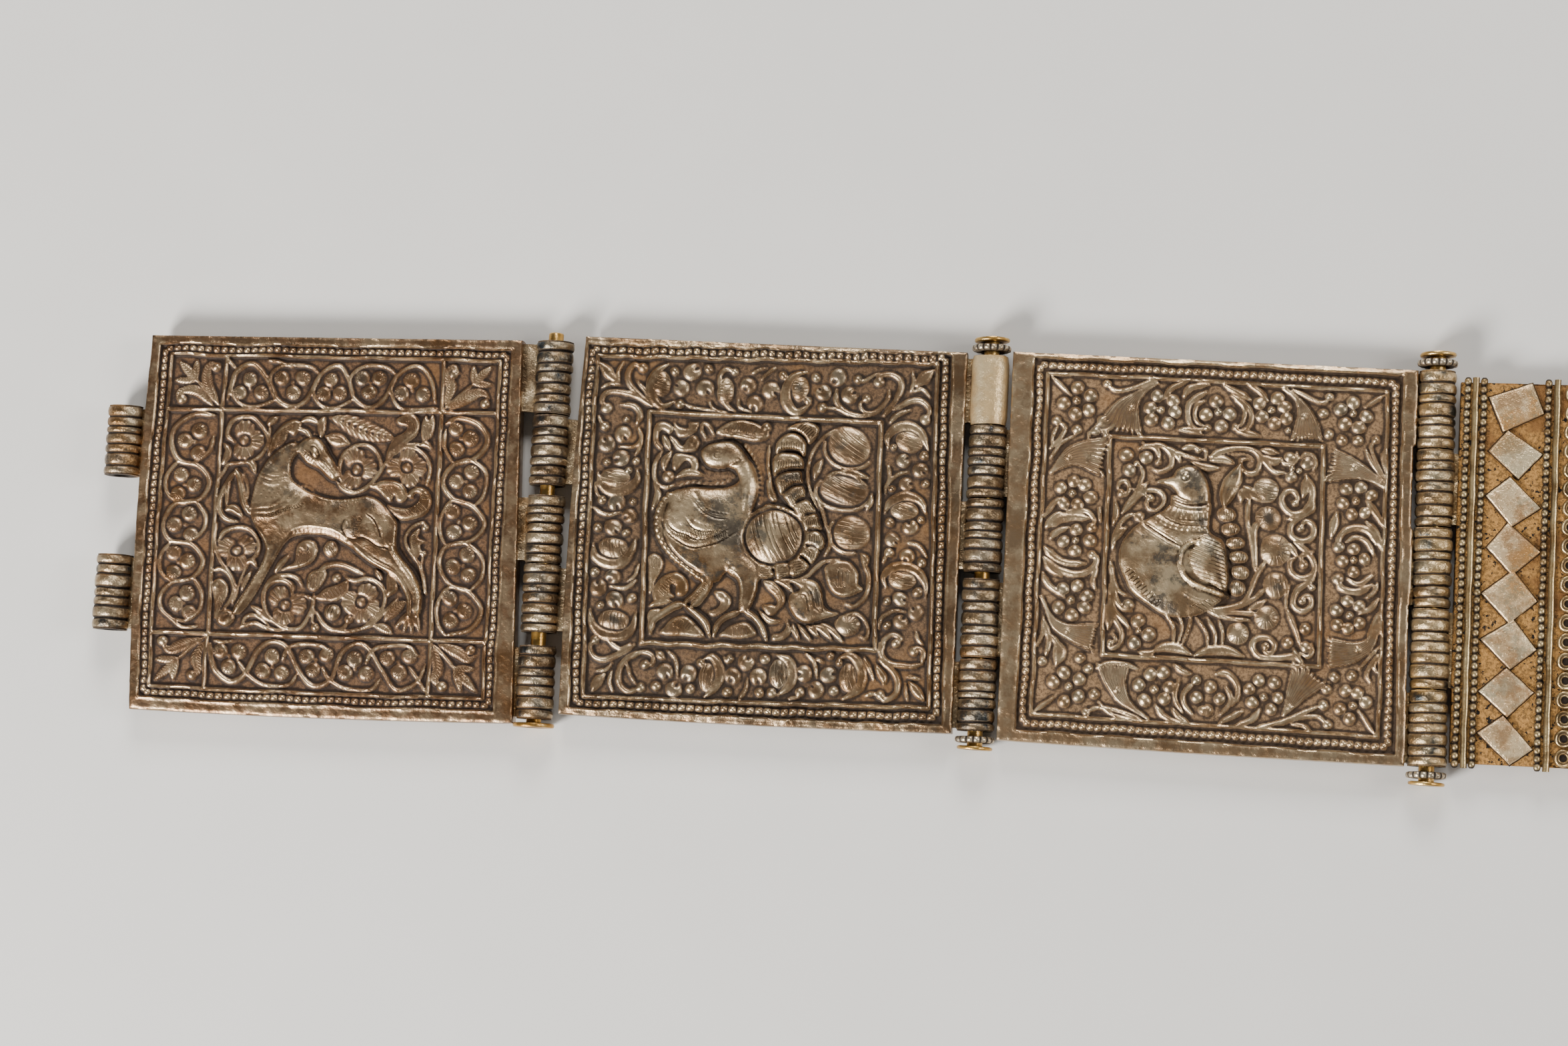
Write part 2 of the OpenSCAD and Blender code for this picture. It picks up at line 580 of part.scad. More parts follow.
// The closing pin stands as far out at the top as the longest hinge pin does below
module closing_pin() {
    headed_pin(7, -head_foot(3));
}

plaque_antelope_left();
plaque_peacock_left();
plaque_parrot_left();
center_plate();
plaque_parrot_right();
plaque_peacock_right();
plaque_antelope_right();
washer_pin(1);  // hinge_pin_1
hinge_pin(2);  // hinge_pin_2
hinge_pin(3);  // hinge_pin_3
hinge_pin(4);  // hinge_pin_4
hinge_pin(5);  // hinge_pin_5
washer_pin(6);  // hinge_pin_6
closing_pin();
collar_top(2);  // collar_2_top
collar_bottom(2);  // collar_2_bottom
collar_top(3);  // collar_3_top
collar_bottom(3);  // collar_3_bottom
collar_top(4);  // collar_4_top
collar_bottom(4);  // collar_4_bottom
collar_top(5);  // collar_5_top
collar_bottom(5);  // collar_5_bottom
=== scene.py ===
import math
from functools import partial

import bpy
import numpy as np
from mathutils import Matrix, Vector


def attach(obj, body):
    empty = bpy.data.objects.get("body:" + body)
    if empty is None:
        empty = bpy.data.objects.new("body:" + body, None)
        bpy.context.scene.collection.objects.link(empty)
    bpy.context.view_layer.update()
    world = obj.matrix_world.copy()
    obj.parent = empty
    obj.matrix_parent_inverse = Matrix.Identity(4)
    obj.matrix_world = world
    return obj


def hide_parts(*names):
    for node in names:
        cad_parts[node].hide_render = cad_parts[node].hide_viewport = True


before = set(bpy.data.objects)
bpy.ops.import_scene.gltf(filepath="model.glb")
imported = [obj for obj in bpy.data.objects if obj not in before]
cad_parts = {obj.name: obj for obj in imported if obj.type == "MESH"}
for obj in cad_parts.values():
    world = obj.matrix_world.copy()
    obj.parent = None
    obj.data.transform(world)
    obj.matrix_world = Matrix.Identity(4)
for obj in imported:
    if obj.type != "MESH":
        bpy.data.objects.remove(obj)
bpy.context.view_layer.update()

# ---------------------------------------------------------------------------------------------
# Table, light and camera. The belt lies on a plain pale table under three large soft lamps, and
# the camera looks almost straight down on its left half.
# ---------------------------------------------------------------------------------------------


def paint(red, green, blue):
    """Colour of a paint, from 0 to 255 for each part, as the linear colour of a socket."""
    part = np.array([red, green, blue]) / 255
    return (*np.where(part < 0.04, part / 12.92, ((part + 0.055) / 1.055) ** 2.4), 1.0)


def add(tree, kind, inputs, **settings):
    """Adds a shader node, makes its settings, and fills its inputs with values or other nodes' outputs."""
    made = tree.nodes.new(kind)
    for name, value in settings.items():
        setattr(made, name, value)
    for key, value in inputs.items():
        if isinstance(value, bpy.types.NodeSocket):
            tree.links.new(value, made.inputs[key])
        else:
            made.inputs[key].default_value = value
    return made


def speckle(tree, scale, detail=4.0, rough=0.6):
    """Noise on the object's own coordinates, scale times to the metre."""
    place = add(tree, "ShaderNodeTexCoord", {}).outputs["Object"]
    inputs = {"Vector": place, "Scale": scale, "Detail": detail, "Roughness": rough}
    return add(tree, "ShaderNodeTexNoise", inputs).outputs["Fac"]


def tint(tree, share, first, second):
    """Colour that goes from the first to the second as share goes from 0 to 1."""
    inputs = {0: share, 6: first, 7: second}
    return add(tree, "ShaderNodeMix", inputs, data_type="RGBA").outputs[2]


def fade(tree, value, low, high, to_low=0.0, to_high=1.0):
    """Smooth step of a value: to_low below low, and to_high above high."""
    inputs = {"Value": value, "From Min": low, "From Max": high, "To Min": to_low, "To Max": to_high}
    return add(tree, "ShaderNodeMapRange", inputs, interpolation_type="SMOOTHSTEP").outputs[0]


def figure(tree, what, first, second=0.0, third=0.0):
    """Sum or other figure worked out of one, two or three values."""
    return add(tree, "ShaderNodeMath", {0: first, 1: second, 2: third}, operation=what).outputs[0]


def new_material(name):
    """Empty material with its tree and its Principled shader."""
    made = bpy.data.materials.new(name)
    made.use_nodes = True
    return made, made.node_tree, made.node_tree.nodes["Principled BSDF"]


def mesh_piece(name, points, faces, sharp=35, marks=None):
    """Mesh object from points in mm and blocks of faces, with marks as attributes of its points."""
    mesh = bpy.data.meshes.new(name)
    mesh.from_pydata(np.asarray(points) * 0.001, [], [row for block in faces for row in block.tolist()])
    for mark, values in (marks or {}).items():
        mesh.attributes.new(mark, "FLOAT", "POINT").data.foreach_set("value", np.ravel(values))
    mesh.shade_smooth()
    mesh.set_sharp_from_angle(angle=math.radians(sharp))
    made = bpy.data.objects.new(name, mesh)
    bpy.context.scene.collection.objects.link(made)
    return made


table_side = 3000.0
table_corners = [[-1, -1, 0], [1, -1, 0], [1, 1, 0], [-1, 1, 0]]
table = mesh_piece("table", np.array(table_corners) * table_side / 2, [np.array([[0, 1, 2, 3]])])
table_paint, tree, shader = new_material("table_paint")
grain = speckle(tree, 30.0)
tree.links.new(tint(tree, grain, paint(214, 213, 210), paint(222, 221, 218)), shader.inputs["Base Color"])
shader.inputs["Roughness"].default_value = 0.85
table.data.materials.append(table_paint)

world = bpy.data.worlds.new("studio")
world.use_nodes = True
world.node_tree.nodes["Background"].inputs["Color"].default_value = paint(236, 238, 242)
world.node_tree.nodes["Background"].inputs["Strength"].default_value = 0.12
bpy.context.scene.world = world

# Lamps. Columns: name, place in metres, side of the square lamp in metres, watts
belt_middle = Vector((-0.16, 0.0, 0.0))
for name, place, side, watts in (
    ("key", (-0.75, -0.62, 0.62), 0.35, 22.0),
    ("top", (-0.10, 0.85, 0.65), 0.4, 9.0),
    ("right", (0.75, 0.05, 0.60), 0.4, 5.0),
):
    lamp = bpy.data.lights.new(name, "AREA")
    lamp.size = side
    lamp.energy = watts
    lamp.color = (1.0, 0.97, 0.93)
    holder = bpy.data.objects.new(name, lamp)
    holder.location = place
    holder.rotation_euler = (belt_middle - Vector(place)).to_track_quat("-Z", "Y").to_euler()
    bpy.context.scene.collection.objects.link(holder)

# The camera stands at (2.6, 3.1, 563) mm of a frame that is turned by three small angles
tilt, roll, spin = (math.radians(a) for a in (-6.0, -7.99, -2.09))
view_turn = (Matrix.Rotation(spin, 3, "Z") @ Matrix.Rotation(roll, 3, "Y") @ Matrix.Rotation(tilt, 3, "X"))
view_place = view_turn.transposed() @ Vector((2.6, 3.1, 563.0)) + Vector((-181.7, 0, 0))
lens = bpy.data.cameras.new("camera")
lens.lens = 70
lens.sensor_width = 36
lens.clip_start = 0.05
lens.clip_end = 20
camera = bpy.data.objects.new("camera", lens)
camera.matrix_world = Matrix.Translation(view_place * 0.001) @ view_turn.transposed().to_4x4()
bpy.context.scene.collection.objects.link(camera)
bpy.context.scene.camera = camera

# ---------------------------------------------------------------------------------------------
# Six square plaques of cast silver, three to each side. Each is a plate with a raised margin, a
# border of beads and vines, and an animal in the middle. It is cast in one piece and chased.
# ---------------------------------------------------------------------------------------------
half_height = 35.0
axis_z = 3.9
back_z = 1.8
ground_z = 5.0
axes = (-305.6, -223.3, -142.0, -62.0, 62.0, 142.0, 223.3, 305.6)
even_row = [(35 - 14 * k, 21.3 - 14 * k) for k in range(5)]
# Ends of the knuckles of each hinge: top and bottom of knuckles 1 to 5
knuckle_rows = [
    [even_row[0], (20.4, 7.2), even_row[2], (-7.9, -22), even_row[4]],
    [(35, 21.4), (21.1, 8.1), (6.1, -6.4), (-6.7, -19.2), (-21.7, -35.2)],
    [(34.6, 22), (21.7, 8.6), (8.3, -4.9), (-6.2, -20.5), (-20.8, -33.7)],
    [(34.2, 20.3), (20, 6.3), (6, -8.2), (-8.5, -22.6), (-22.9, -36.3)],
    even_row, even_row, even_row, even_row,
]


def spline(points, steps=6, closed=False):
    """Curve through the points: on each span, a cubic that leaves every point towards the chord of its neighbours."""
    p = np.asarray(points, float).reshape(-1, 2)
    if len(p) < 3:
        return p[0] + np.linspace(0, 1, steps + 1)[:, None] * (p[-1] - p[0])
    if closed:
        p = np.vstack([p, p[0]])
        q = np.vstack([p[-2], p, p[1]])
    else:
        q = np.vstack([2 * p[0] - p[1], p, 2 * p[-1] - p[-2]])
    t = np.linspace(0, 1, steps, endpoint=False)[None, :, None]
    a, b, c, d = (q[i:len(q) - 3 + i, None] for i in range(4))
    curve = b + t * (c - a) / 2 + t ** 2 * (a - 2.5 * b + 2 * c - d / 2)
    curve = curve + t ** 3 * (1.5 * (b - c) + (d - a) / 2)
    return np.vstack([curve.reshape(-1, 2), p[-1:]])


def soft_step(value, low, high):
    """Smooth step from 0 at low to 1 at high."""
    t = np.clip((value - low) / (high - low), 0, 1)
    return t * t * (3 - 2 * t)


def dome(out):
    """Round that stands 1 high in the middle, falls with the square of the way out, and ends where that is 1."""
    return np.clip(1 - out ** 2, 0, 1)


def mean_round(field, reach, times=2):
    """Mean of a field over a square of 2 reach + 1 points, from running sums along rows and columns."""
    for _ in range(times):
        for axis in (0, 1):
            pad = [(reach + 1, reach) if k == axis else (0, 0) for k in (0, 1)]
            total = np.cumsum(np.pad(field, pad, mode="edge"), axis=axis)
            size = 2 * reach + 1
            upper = np.take(total, range(size, total.shape[axis]), axis=axis)
            lower = np.take(total, range(0, total.shape[axis] - size), axis=axis)
            field = (upper - lower) / size
    return field


class Relief:
    """Face of a plaque. Its points run over u, left to right, and v, top to bottom, in hundredths of the face.
    Each point has a height over the ground in mm, and marks that the finish follows: tarnish, and the phase
    and depth of engraved lines."""

    def __init__(self, size, seed):
        line = np.linspace(0, 100, size)
        self.u, self.v = np.meshgrid(line, line)
        self.step = line[1]
        self.size = size
        self.chance = np.random.default_rng(seed)
        # The maker's hand: every line wanders by a small sum of slow waves
        self.hand_u, self.hand_v = self.u.copy(), self.v.copy()
        for _ in range(5):
            turn, phase, lean = self.chance.uniform(0, 2 * np.pi, 3)
            wave = np.sin((self.u * np.cos(turn) + self.v * np.sin(turn)) * self.chance.uniform(0.25, 0.8) + phase)
            self.hand_u += 0.09 * np.cos(lean) * wave
            self.hand_v += 0.09 * np.sin(lean) * wave
        self.high = np.zeros((size, size))
        self.tarnish = np.zeros((size, size))
        self.phase = np.zeros((size, size))
        self.cut = np.zeros((size, size))

    def window(self, points, reach):
        """Part of the grid that holds the points and what lies within reach of them."""
        low = np.clip(np.floor((points.min(0) - reach - 0.5) / self.step), 0, self.size - 1).astype(int)
        high = np.clip(np.ceil((points.max(0) + reach + 0.5) / self.step) + 1, low + 1, self.size).astype(int)
        return np.s_[low[1]:high[1], low[0]:high[0]]

    def around(self, u, v, reach):
        """Part of the grid within reach of a place, and how far to the right of it and below it each point lies."""
        box = self.window(np.array([[u, v]]), reach)
        return box, self.hand_u[box] - u, self.hand_v[box] - v

    def oval(self, u, v, along, across, turn):
        """The same round an oval that leans by turn, in degrees, and each point's way out, which is 1 on the oval."""
        box, du, dv = self.around(u, v, max(along, across))
        t = np.radians(turn)
        out = np.hypot((du * np.cos(t) + dv * np.sin(t)) / along, (dv * np.cos(t) - du * np.sin(t)) / across)
        return box, du, dv, out

    def follow(self, points, reach):
        """For each grid point round a line: its distance from the line, the way along it, and its side of it. Every
        straight piece of the line is tried on the points within reach of it, and the nearest one counts."""
        box = self.window(points, reach)
        far = np.full(self.u[box].shape, 4.0 * (reach + 1) ** 2)
        way, side = np.zeros_like(far), np.ones_like(far)
        steps = np.diff(points, axis=0)
        sizes = np.maximum(np.hypot(*steps.T), 1e-6)
        run = np.concatenate([[0], np.cumsum(sizes)])
        for a, (du, dv), size, past in zip(points, steps, sizes, run):
            near = self.window(np.array([a, a + (du, dv)]), reach)
            part = tuple(slice(n.start - b.start, n.stop - b.start) for n, b in zip(near, box))
            off_u, off_v = self.hand_u[near] - a[0], self.hand_v[near] - a[1]
            t = np.clip((off_u * du + off_v * dv) / size ** 2, 0, 1)
            off_u, off_v = off_u - t * du, off_v - t * dv
            gap = off_u ** 2 + off_v ** 2
            nearer = gap < far[part]
            far[part] = np.where(nearer, gap, far[part])
            way[part] = np.where(nearer, past + t * size, way[part])
            side[part] = np.where(nearer, np.where(du * off_v < dv * off_u, -1, 1), side[part])
        return box, np.sqrt(far), way, side, run[-1]

    def lay(self, box, height, tarnish=0.0, phase=None, cut=0.0):
        """Lays a form on the face where it stands higher than what is there."""
        over = height > self.high[box]
        self.high[box] = np.where(over, height, self.high[box])
        self.tarnish[box] = np.where(over, tarnish, self.tarnish[box])
        self.cut[box] = np.where(over, cut, self.cut[box])
        if phase is not None:
            self.phase[box] = np.where(over, phase, self.phase[box])

    def strand(self, points, half, rise=0.66, tail=0.7, steps=6):
        """Vine: across it the height is a soft half round. Its width changes to tail of itself at the end, and with a
        tail below 1 both its ends are pointed."""
        box, gap, way, _, length = self.follow(spline(points, steps), half * max(tail, 1))
        width = half * (1 - (1 - tail) * way / length)
        if tail < 1:
            width = width * (0.35 + 0.65 * soft_step(np.minimum(way, length - way), -0.2, min(2.0, 0.3 * length)))
        self.lay(box, rise * dome(gap / width) ** 0.8)

    def leaf(self, points, half, rise=0.72, vein=0.3, hatch=0.0, pitch=0.8):
        """Leaf: its width swells as a sine along it, with a middle vein sunk in it and fine slanting cuts. Cuts that
        lie wide apart are carved."""
        box, gap, way, side, length = self.follow(spline(points), half)
        width = half * np.sin(np.pi * np.clip(way / length, 0.02, 0.98)) ** 0.7
        across = dome(gap / width)
        body = across ** 0.7 * (1 - vein * np.exp(-(gap / (0.2 * half)) ** 2))
        phase = 2 * np.pi * (way - 0.9 * gap) / pitch
        if pitch > 1:
            body = body * (1 - 0.5 * soft_step(np.cos(phase), 0.35, 0.9))
        self.lay(box, rise * body, 0.0, phase, hatch * soft_step(across, 0, 0.3) * np.where(side > 0, 1, 0.6))

    def curl(self, points, half, ball):
        """Strand that ends in a small ball."""
        self.strand(points, half, 0.66, 0.75)
        self.berry(*points[-2:], ball, 0.78)

    def berry(self, u, v, radius, rise=0.85, style="plain", lean=None):
        """Dome whose height is the root of 1 less the square of the way out. Style notched has a wedge cut out of its
        rim, and scalloped has a flat top and a few short cuts on the side of its rim that it leans to."""
        box, du, dv = self.around(u, v, radius)
        out = np.hypot(du, dv) / radius
        body = dome(out) ** 0.5
        if lean is None:
            lean = self.chance.uniform(-np.pi, np.pi)
        angle = np.angle(np.exp(1j * (np.arctan2(dv, du) - lean)))
        phase, cut = None, 0.0
        if style == "notched":
            wedge = np.exp(-(angle / 0.4) ** 2) * soft_step(out, 0.1, 0.5)
            body = np.minimum(body, 0.78) * (1 - 0.85 * wedge)
            body -= 0.12 * np.exp(-((out - 0.68) / 0.1) ** 2)
        if style == "scalloped":
            one_side = soft_step(np.cos(angle), 0.0, 0.5)
            body = np.minimum(body, 0.8) * (1 - 0.12 * one_side * soft_step(out, 0.5, 0.9) * np.cos(angle * 11))
            phase, cut = angle * 11, one_side * soft_step(out, 0.3, 0.5) * soft_step(out, 1.0, 0.85)
        self.lay(box, rise * body, self.chance.uniform(-0.2, 1.0), phase, cut)

    def disc(self, u, v, along, across, turn, lean, pitch, rise=1.0):
        """Oval dome with engraved strokes. turn leans the oval and lean the strokes, in degrees. The strokes are
        bowed and run side by side at the pitch. With a pitch below 0 they are that many rays round one side of the
        rim."""
        box, du, dv, out = self.oval(u, v, along, across, turn)
        k = np.radians(lean)
        way = du * np.cos(k) + dv * np.sin(k)
        off = dv * np.cos(k) - du * np.sin(k)
        body = dome(out) ** 0.55
        if pitch > 0:
            strokes = off + 0.12 * way ** 2 / along
            broken = soft_step(np.sin(1.7 * way / along + 2.4 * np.round(strokes / pitch)), -0.9, -0.2)
            phase, cut = 2 * np.pi * strokes / pitch, broken * soft_step(out, 0.95, 0.75)
            body -= 0.07 * (pitch > 0.75) * cut * soft_step(np.cos(phase), 0.2, 0.9)
        else:
            angle = np.arctan2(off, way)
            broken = soft_step(np.cos(angle), -0.3, 0.2)
            phase, cut = angle * -pitch, broken * soft_step(out, 0.35, 0.6) * soft_step(out, 1.0, 0.88)
        self.lay(box, rise * body, self.chance.uniform(0.0, 0.7), phase, 0.9 * cut)

    def swell(self, u, v, along, across, turn, rise):
        """Soft rise on top of what is there, in an oval."""
        box, _, _, out = self.oval(u, v, along, across, turn)
        self.high[box] += rise * dome(out) ** 2

    def rim(self, u, v, along, across, half=0.6, rise=0.6, start=0, turn=360):
        """Ring round an oval, or the part of it from the angle start on through turn degrees."""
        angle = np.radians(start + np.linspace(0, turn, 25))
        self.strand(np.stack([u + along * np.cos(angle), v - across * np.sin(angle)], 1), half, rise, 1.0, 1)

    def body(self, points, rise, edge, lean=0.0, pitch=0.0):
        """Form inside a drawn outline. Its height rises from the outline as a quarter round, edge wide. A point is
        inside when a level line from it to the right crosses the outline an odd number of times. With a pitch it has
        level cuts, which lean by an angle in degrees."""
        line = spline(points, 8, True)
        box, gap, _, _, _ = self.follow(line, edge)
        inside = np.zeros(gap.shape, bool)
        u, v = self.hand_u[box], self.hand_v[box]
        for (a_u, a_v), (b_u, b_v) in zip(line[:-1], line[1:]):
            if a_v != b_v:
                inside ^= ((a_v > v) != (b_v > v)) & (u < a_u + (v - a_v) * (b_u - a_u) / (b_v - a_v))
        far = np.clip(gap / edge, 0, 1)
        high = rise * (0.3 + 0.7 * np.sqrt(1 - (1 - far) ** 2))
        phase, cut = None, 0.0
        if pitch:
            k = np.radians(lean)
            phase = 2 * np.pi * (v * np.cos(k) - u * np.sin(k)) / pitch
            cut = soft_step(gap, 0.2, 0.7)
            high = high - 0.07 * cut * soft_step(np.cos(phase), 0, 0.9)
        self.lay(box, np.where(inside, high, -1), 0.0, phase, cut)

    def beads(self, points, pitch, half, rise, square=2.0, gap_cut=0.0, added=False):
        """Row of beads: each is the product of two rounds, across and along; a higher square makes them blocks.
        gap_cut is the depth of the gaps between them, and added beads stand on top of what is there."""
        box, gap, way, _, length = self.follow(spline(points), half)
        count = max(round(length / pitch), 1)
        place = (way / length * count) % 1 - 0.5
        x, y = np.abs(place) / 0.46, gap / half
        bead = np.clip(1 - x ** square, 0, 1) ** 0.6 * np.clip(1 - y ** square, 0, 1) ** 0.6
        if gap_cut:
            self.high[box] -= gap_cut * np.exp(-((np.abs(place) - 0.5) / 0.16) ** 2 - (y / 0.75) ** 2)
        if added:
            self.high[box] += rise * bead
        else:
            self.lay(box, rise * bead)

    def groove(self, points, half, depth=0.28):
        """Engraved line: a trough with a bell for its section, that starts and ends softly."""
        box, gap, way, _, length = self.follow(spline(points), 3 * half)
        ends = soft_step(way, 0, 0.12 * length) * soft_step(way, length, 0.88 * length)
        self.high[box] -= depth * np.exp(-(gap / half) ** 2) * (0.3 + 0.7 * ends)

    def strokes(self, count, points):
        """Side by side cuts on what stands over 0.3 mm high in a four-cornered field. The first two corners are where
        the first and the last cut start, and the other two where they end."""
        a, b, c, d = np.reshape(points, (4, 2))
        box = self.window(np.array([a, b, c, d]), 0.3)
        along, over = (c + d - a - b) / 2, (b + d - a - c) / 2
        off = np.stack([self.hand_u[box], self.hand_v[box]], -1) - (a + b + c + d) / 4
        size = along[0] * over[1] - along[1] * over[0]
        s = (off[..., 0] * over[1] - off[..., 1] * over[0]) / size + 0.5
        t = (off[..., 1] * along[0] - off[..., 0] * along[1]) / size + 0.5
        s = s - 0.12 * np.sin(2.4 * np.floor(t * count))
        within = soft_step(s, 0, 0.12) * soft_step(s, 1, 0.88) * (t > 0) * (t < 1) * (self.high[box] > 0.3)
        self.phase[box] = np.where(within > 0, 2 * np.pi * t * count + np.pi, self.phase[box])
        self.cut[box] = np.maximum(np.where(within > 0, 0, self.cut[box]), within)

    def holes(self, points, radius, depth=0.22):
        """Punched dots."""
        for u, v in np.reshape(points, (-1, 2)):
            box = self.window(np.array([[u, v]]), 2 * radius)
            self.high[box] -= depth * np.exp(-((self.u[box] - u) ** 2 + (self.v[box] - v) ** 2) / radius ** 2)

    def dots(self, points, radius, pitch):
        """Punched dots at even steps along a line, a little deeper than single ones."""
        line = spline(points)
        run = np.concatenate([[0], np.cumsum(np.hypot(*np.diff(line, axis=0).T))])
        at = np.linspace(0, run[-1], max(int(run[-1] / pitch), 2))
        self.holes(np.stack([np.interp(at, run, line[:, 0]), np.interp(at, run, line[:, 1])], 1), radius, 0.3)

    def flower(self, u, v, radius, angles):
        """Petals at the given angles round a small flat middle, each a low dome with a scalloped edge and rays cut
        into its outer side."""
        rise, petal_at = 0.72, 0.58 * radius
        for angle in np.radians(angles):
            way = np.array([np.cos(angle), -np.sin(angle)])
            box, du, dv = self.around(*(np.array([u, v]) + petal_at * way), 0.6 * radius)
            across = du * way[1] - dv * way[0]
            along = du * way[0] + dv * way[1] + petal_at
            rays = np.arctan2(across, along) * 17
            out = np.hypot(along - petal_at, across * 0.92) / (0.5 * radius)
            out = out + 0.06 * np.cos(rays) * soft_step(along, 0.6 * radius, 0.9 * radius)
            body = dome(out) ** 0.35 * (0.7 + 0.3 * np.clip(along / radius, 0, 1))
            cut = soft_step(out, 1.0, 0.85) * soft_step(along, 0.35 * radius, 0.62 * radius)
            self.lay(box, rise * body - 0.08 * cut * soft_step(np.cos(rays), 0, 0.8), 0.1, rays, cut)
        self.berry(u, v, 0.3 * radius, rise - 0.3)
        box, du, dv = self.around(u, v, 0.4 * radius)
        out = np.hypot(du, dv) / (0.3 * radius)
        self.high[box] -= 0.4 * np.exp(-((out - 1) / 0.22) ** 2)
        self.berry(u, v, 0.24 * radius, rise - 0.12)

    def fan(self, first, last, count):
        """Form that spreads between two lines, cut into ribs: a point's share of the way across is its distance from
        the first line over the sum of both distances, and the cuts follow the cosine of that share."""
        first, last = spline(np.reshape(first, (-1, 2))), spline(np.reshape(last, (-1, 2)))
        reach = 1.2 * np.hypot(*(first[-1] - last[-1]))
        gaps, ways, inner = [], [], 1
        for line, other in ((first, last), (last, first)):
            box, gap, way, side, length = self.follow(line, reach)
            for kept, field, empty in ((gaps, gap, reach), (ways, way / length, 1.0)):
                kept.append(np.full(self.u.shape, empty))
                kept[-1][box] = field
            (du, dv), (off_u, off_v) = line[-1] - line[-2], other[-1] - line[-1]
            facing = np.zeros(self.u.shape)
            facing[box] = side * (1 if du * off_v > dv * off_u else -1)
            inner = inner * (facing > 0)
        share = gaps[0] / (gaps[0] + gaps[1] + 1e-6)
        way = (ways[0] + ways[1]) / 2
        rib = np.cos(2 * np.pi * share * count)
        inner = inner * (way > 0.02) * (way < 0.96 + 0.02 * rib)
        cut = soft_step(way, 0.08, 0.3)
        self.lay(np.s_[:, :], inner * 0.7 * (0.75 + 0.25 * rib * cut), 0.3, 2 * np.pi * share * count + np.pi, cut)

    def margin(self, corners, rise):
        """Raised margin outside a four-cornered outline, with a soft inner edge."""
        line = np.array([*corners, corners[0]], float)
        box, gap, _, side, _ = self.follow(line, 200)
        self.lay(box, np.where(side > 0, -1, rise * soft_step(gap, -0.2, 0.5)), 0.25)

    def ridge(self, corners, half, rise):
        """Straight ridge along a four-cornered outline."""
        line = np.array([*corners, corners[0]], float)
        box, gap, _, _, _ = self.follow(line, half)
        self.lay(box, rise * dome(gap / half) ** 0.9)

    def edging(self, outer, inner, first, beads, last, thread=None):
        """Margin, then a row of beads between two ridges. The row runs half way between both outlines, and may lie on
        a thin thread. A ridge's sizes are its half width and rise, and the others are those of beads and strand."""
        self.margin(outer, 0.7)
        self.ridge(outer, *first)
        row = (np.array(outer) + inner) / 2
        for a, b in zip(row, np.roll(row, -1, 0)):
            if thread:
                self.strand([a, b], *thread)
            self.beads([a, b], *beads)
        self.ridge(inner, *last)

    def berries(self, style, radius, *points):
        """Berries of one style. The scalloped ones stand in threes round a small bud and lean away from it."""
        spots = np.reshape(points, (-1, 2))
        for k, (u, v) in enumerate(spots):
            lean = None
            if style == "scalloped":
                middle = spots[k - k % 3:k - k % 3 + 3].mean(0)
                lean = np.arctan2(v - middle[1], u - middle[0])
                self.berry(*middle, 0.6, 0.4)
            self.berry(u, v, radius, style=style, lean=lean)

    def discs(self, sizes, points):
        """Discs of the same sizes round several points."""
        for u, v in zip(points[::2], points[1::2]):
            self.disc(u, v, *sizes)

    def chase(self, table):
        """Works through a table of forms. A row is a letter, the form's sizes, and the u and v of each of its points.
        A line that begins with a space goes on with the row above it."""
        forms = {
            # Vine and leaves: half width. c ends in a ball (its radius), j has carved cuts (their pitch)
            "v": lambda x: self.strand(x[1:], 1.35 * x[0]),
            "l": lambda x: self.leaf(x[1:], 1.15 * x[0], hatch=0.7),
            "m": lambda x: self.leaf(x[1:], 1.15 * x[0], 0.78, 0.12),
            "c": lambda x: self.curl(x[2:], 1.3 * x[0], x[1]),
            "j": lambda x: self.leaf(x[2:], x[0], 0.78, 0.4, 0.5, x[1]),
            # The same with the rise too, and then the vine's tail or the depth of the leaf's vein
            "y": lambda x: self.strand(x[3:], *x[:3]),
            "z": lambda x: self.leaf(x[3:], *x[:3]),
            # Berries: radius
            "b": lambda x: self.berries("plain", *x),
            "s": lambda x: self.berries("scalloped", *x),
            "n": lambda x: self.berries("notched", *x),
            # Disc: two radii, turn, lean and pitch of its strokes. Ring: two radii, first angle, turn
            "d": lambda x: self.discs(x[:5], x[5:]),
            "r": lambda x: self.rim(x[4], x[5], x[0], x[1], start=x[2], turn=x[3]),
            # Fan: ribs, then its first and its last line. Flower: radius, u, v, angles of the petals
            "f": lambda x: self.fan(x[1:1 + len(x) // 2], x[1 + len(x) // 2:], int(x[0])),
            "w": lambda x: self.flower(x[1], x[2], x[0], x[3:]),
            # Forms with a drawn outline: width of the edge, or rise and width of the edge
            "a": lambda x: self.body(x[1:], 0.66, x[0]),
            "x": lambda x: self.body(x[2:], *x[:2]),
            # Soft rise: u, v, two radii, turn, rise
            "e": lambda x: self.swell(*x),
            # Groove and raised line: half width. q has its own depth too, below 0 for a raised one
            "g": lambda x: self.groove(x[1:], x[0]),
            "k": lambda x: self.groove(x[1:], x[0], -0.22),
            "q": lambda x: self.groove(x[2:], *x[:2]),
            # Cuts (count), holes (radius), dotted line (radius, pitch), small beads (half width, pitch)
            "t": lambda x: self.strokes(x[0], x[1:]),
            "h": lambda x: self.holes(x[1:], x[0]),
            "p": lambda x: self.dots(x[2:], *x[:2]),
            "o": lambda x: self.beads(x[2:], x[1], x[0], 0.35, added=True),
            # Other beads: pitch, half width, rise, square
            "i": lambda x: self.beads(x[4:], *x[:4], added=True),
        }
        for row in filter(None, table.replace("\n ", " ").splitlines()):
            kind, *values = row.split()
            forms[kind]([float(value) for value in values])


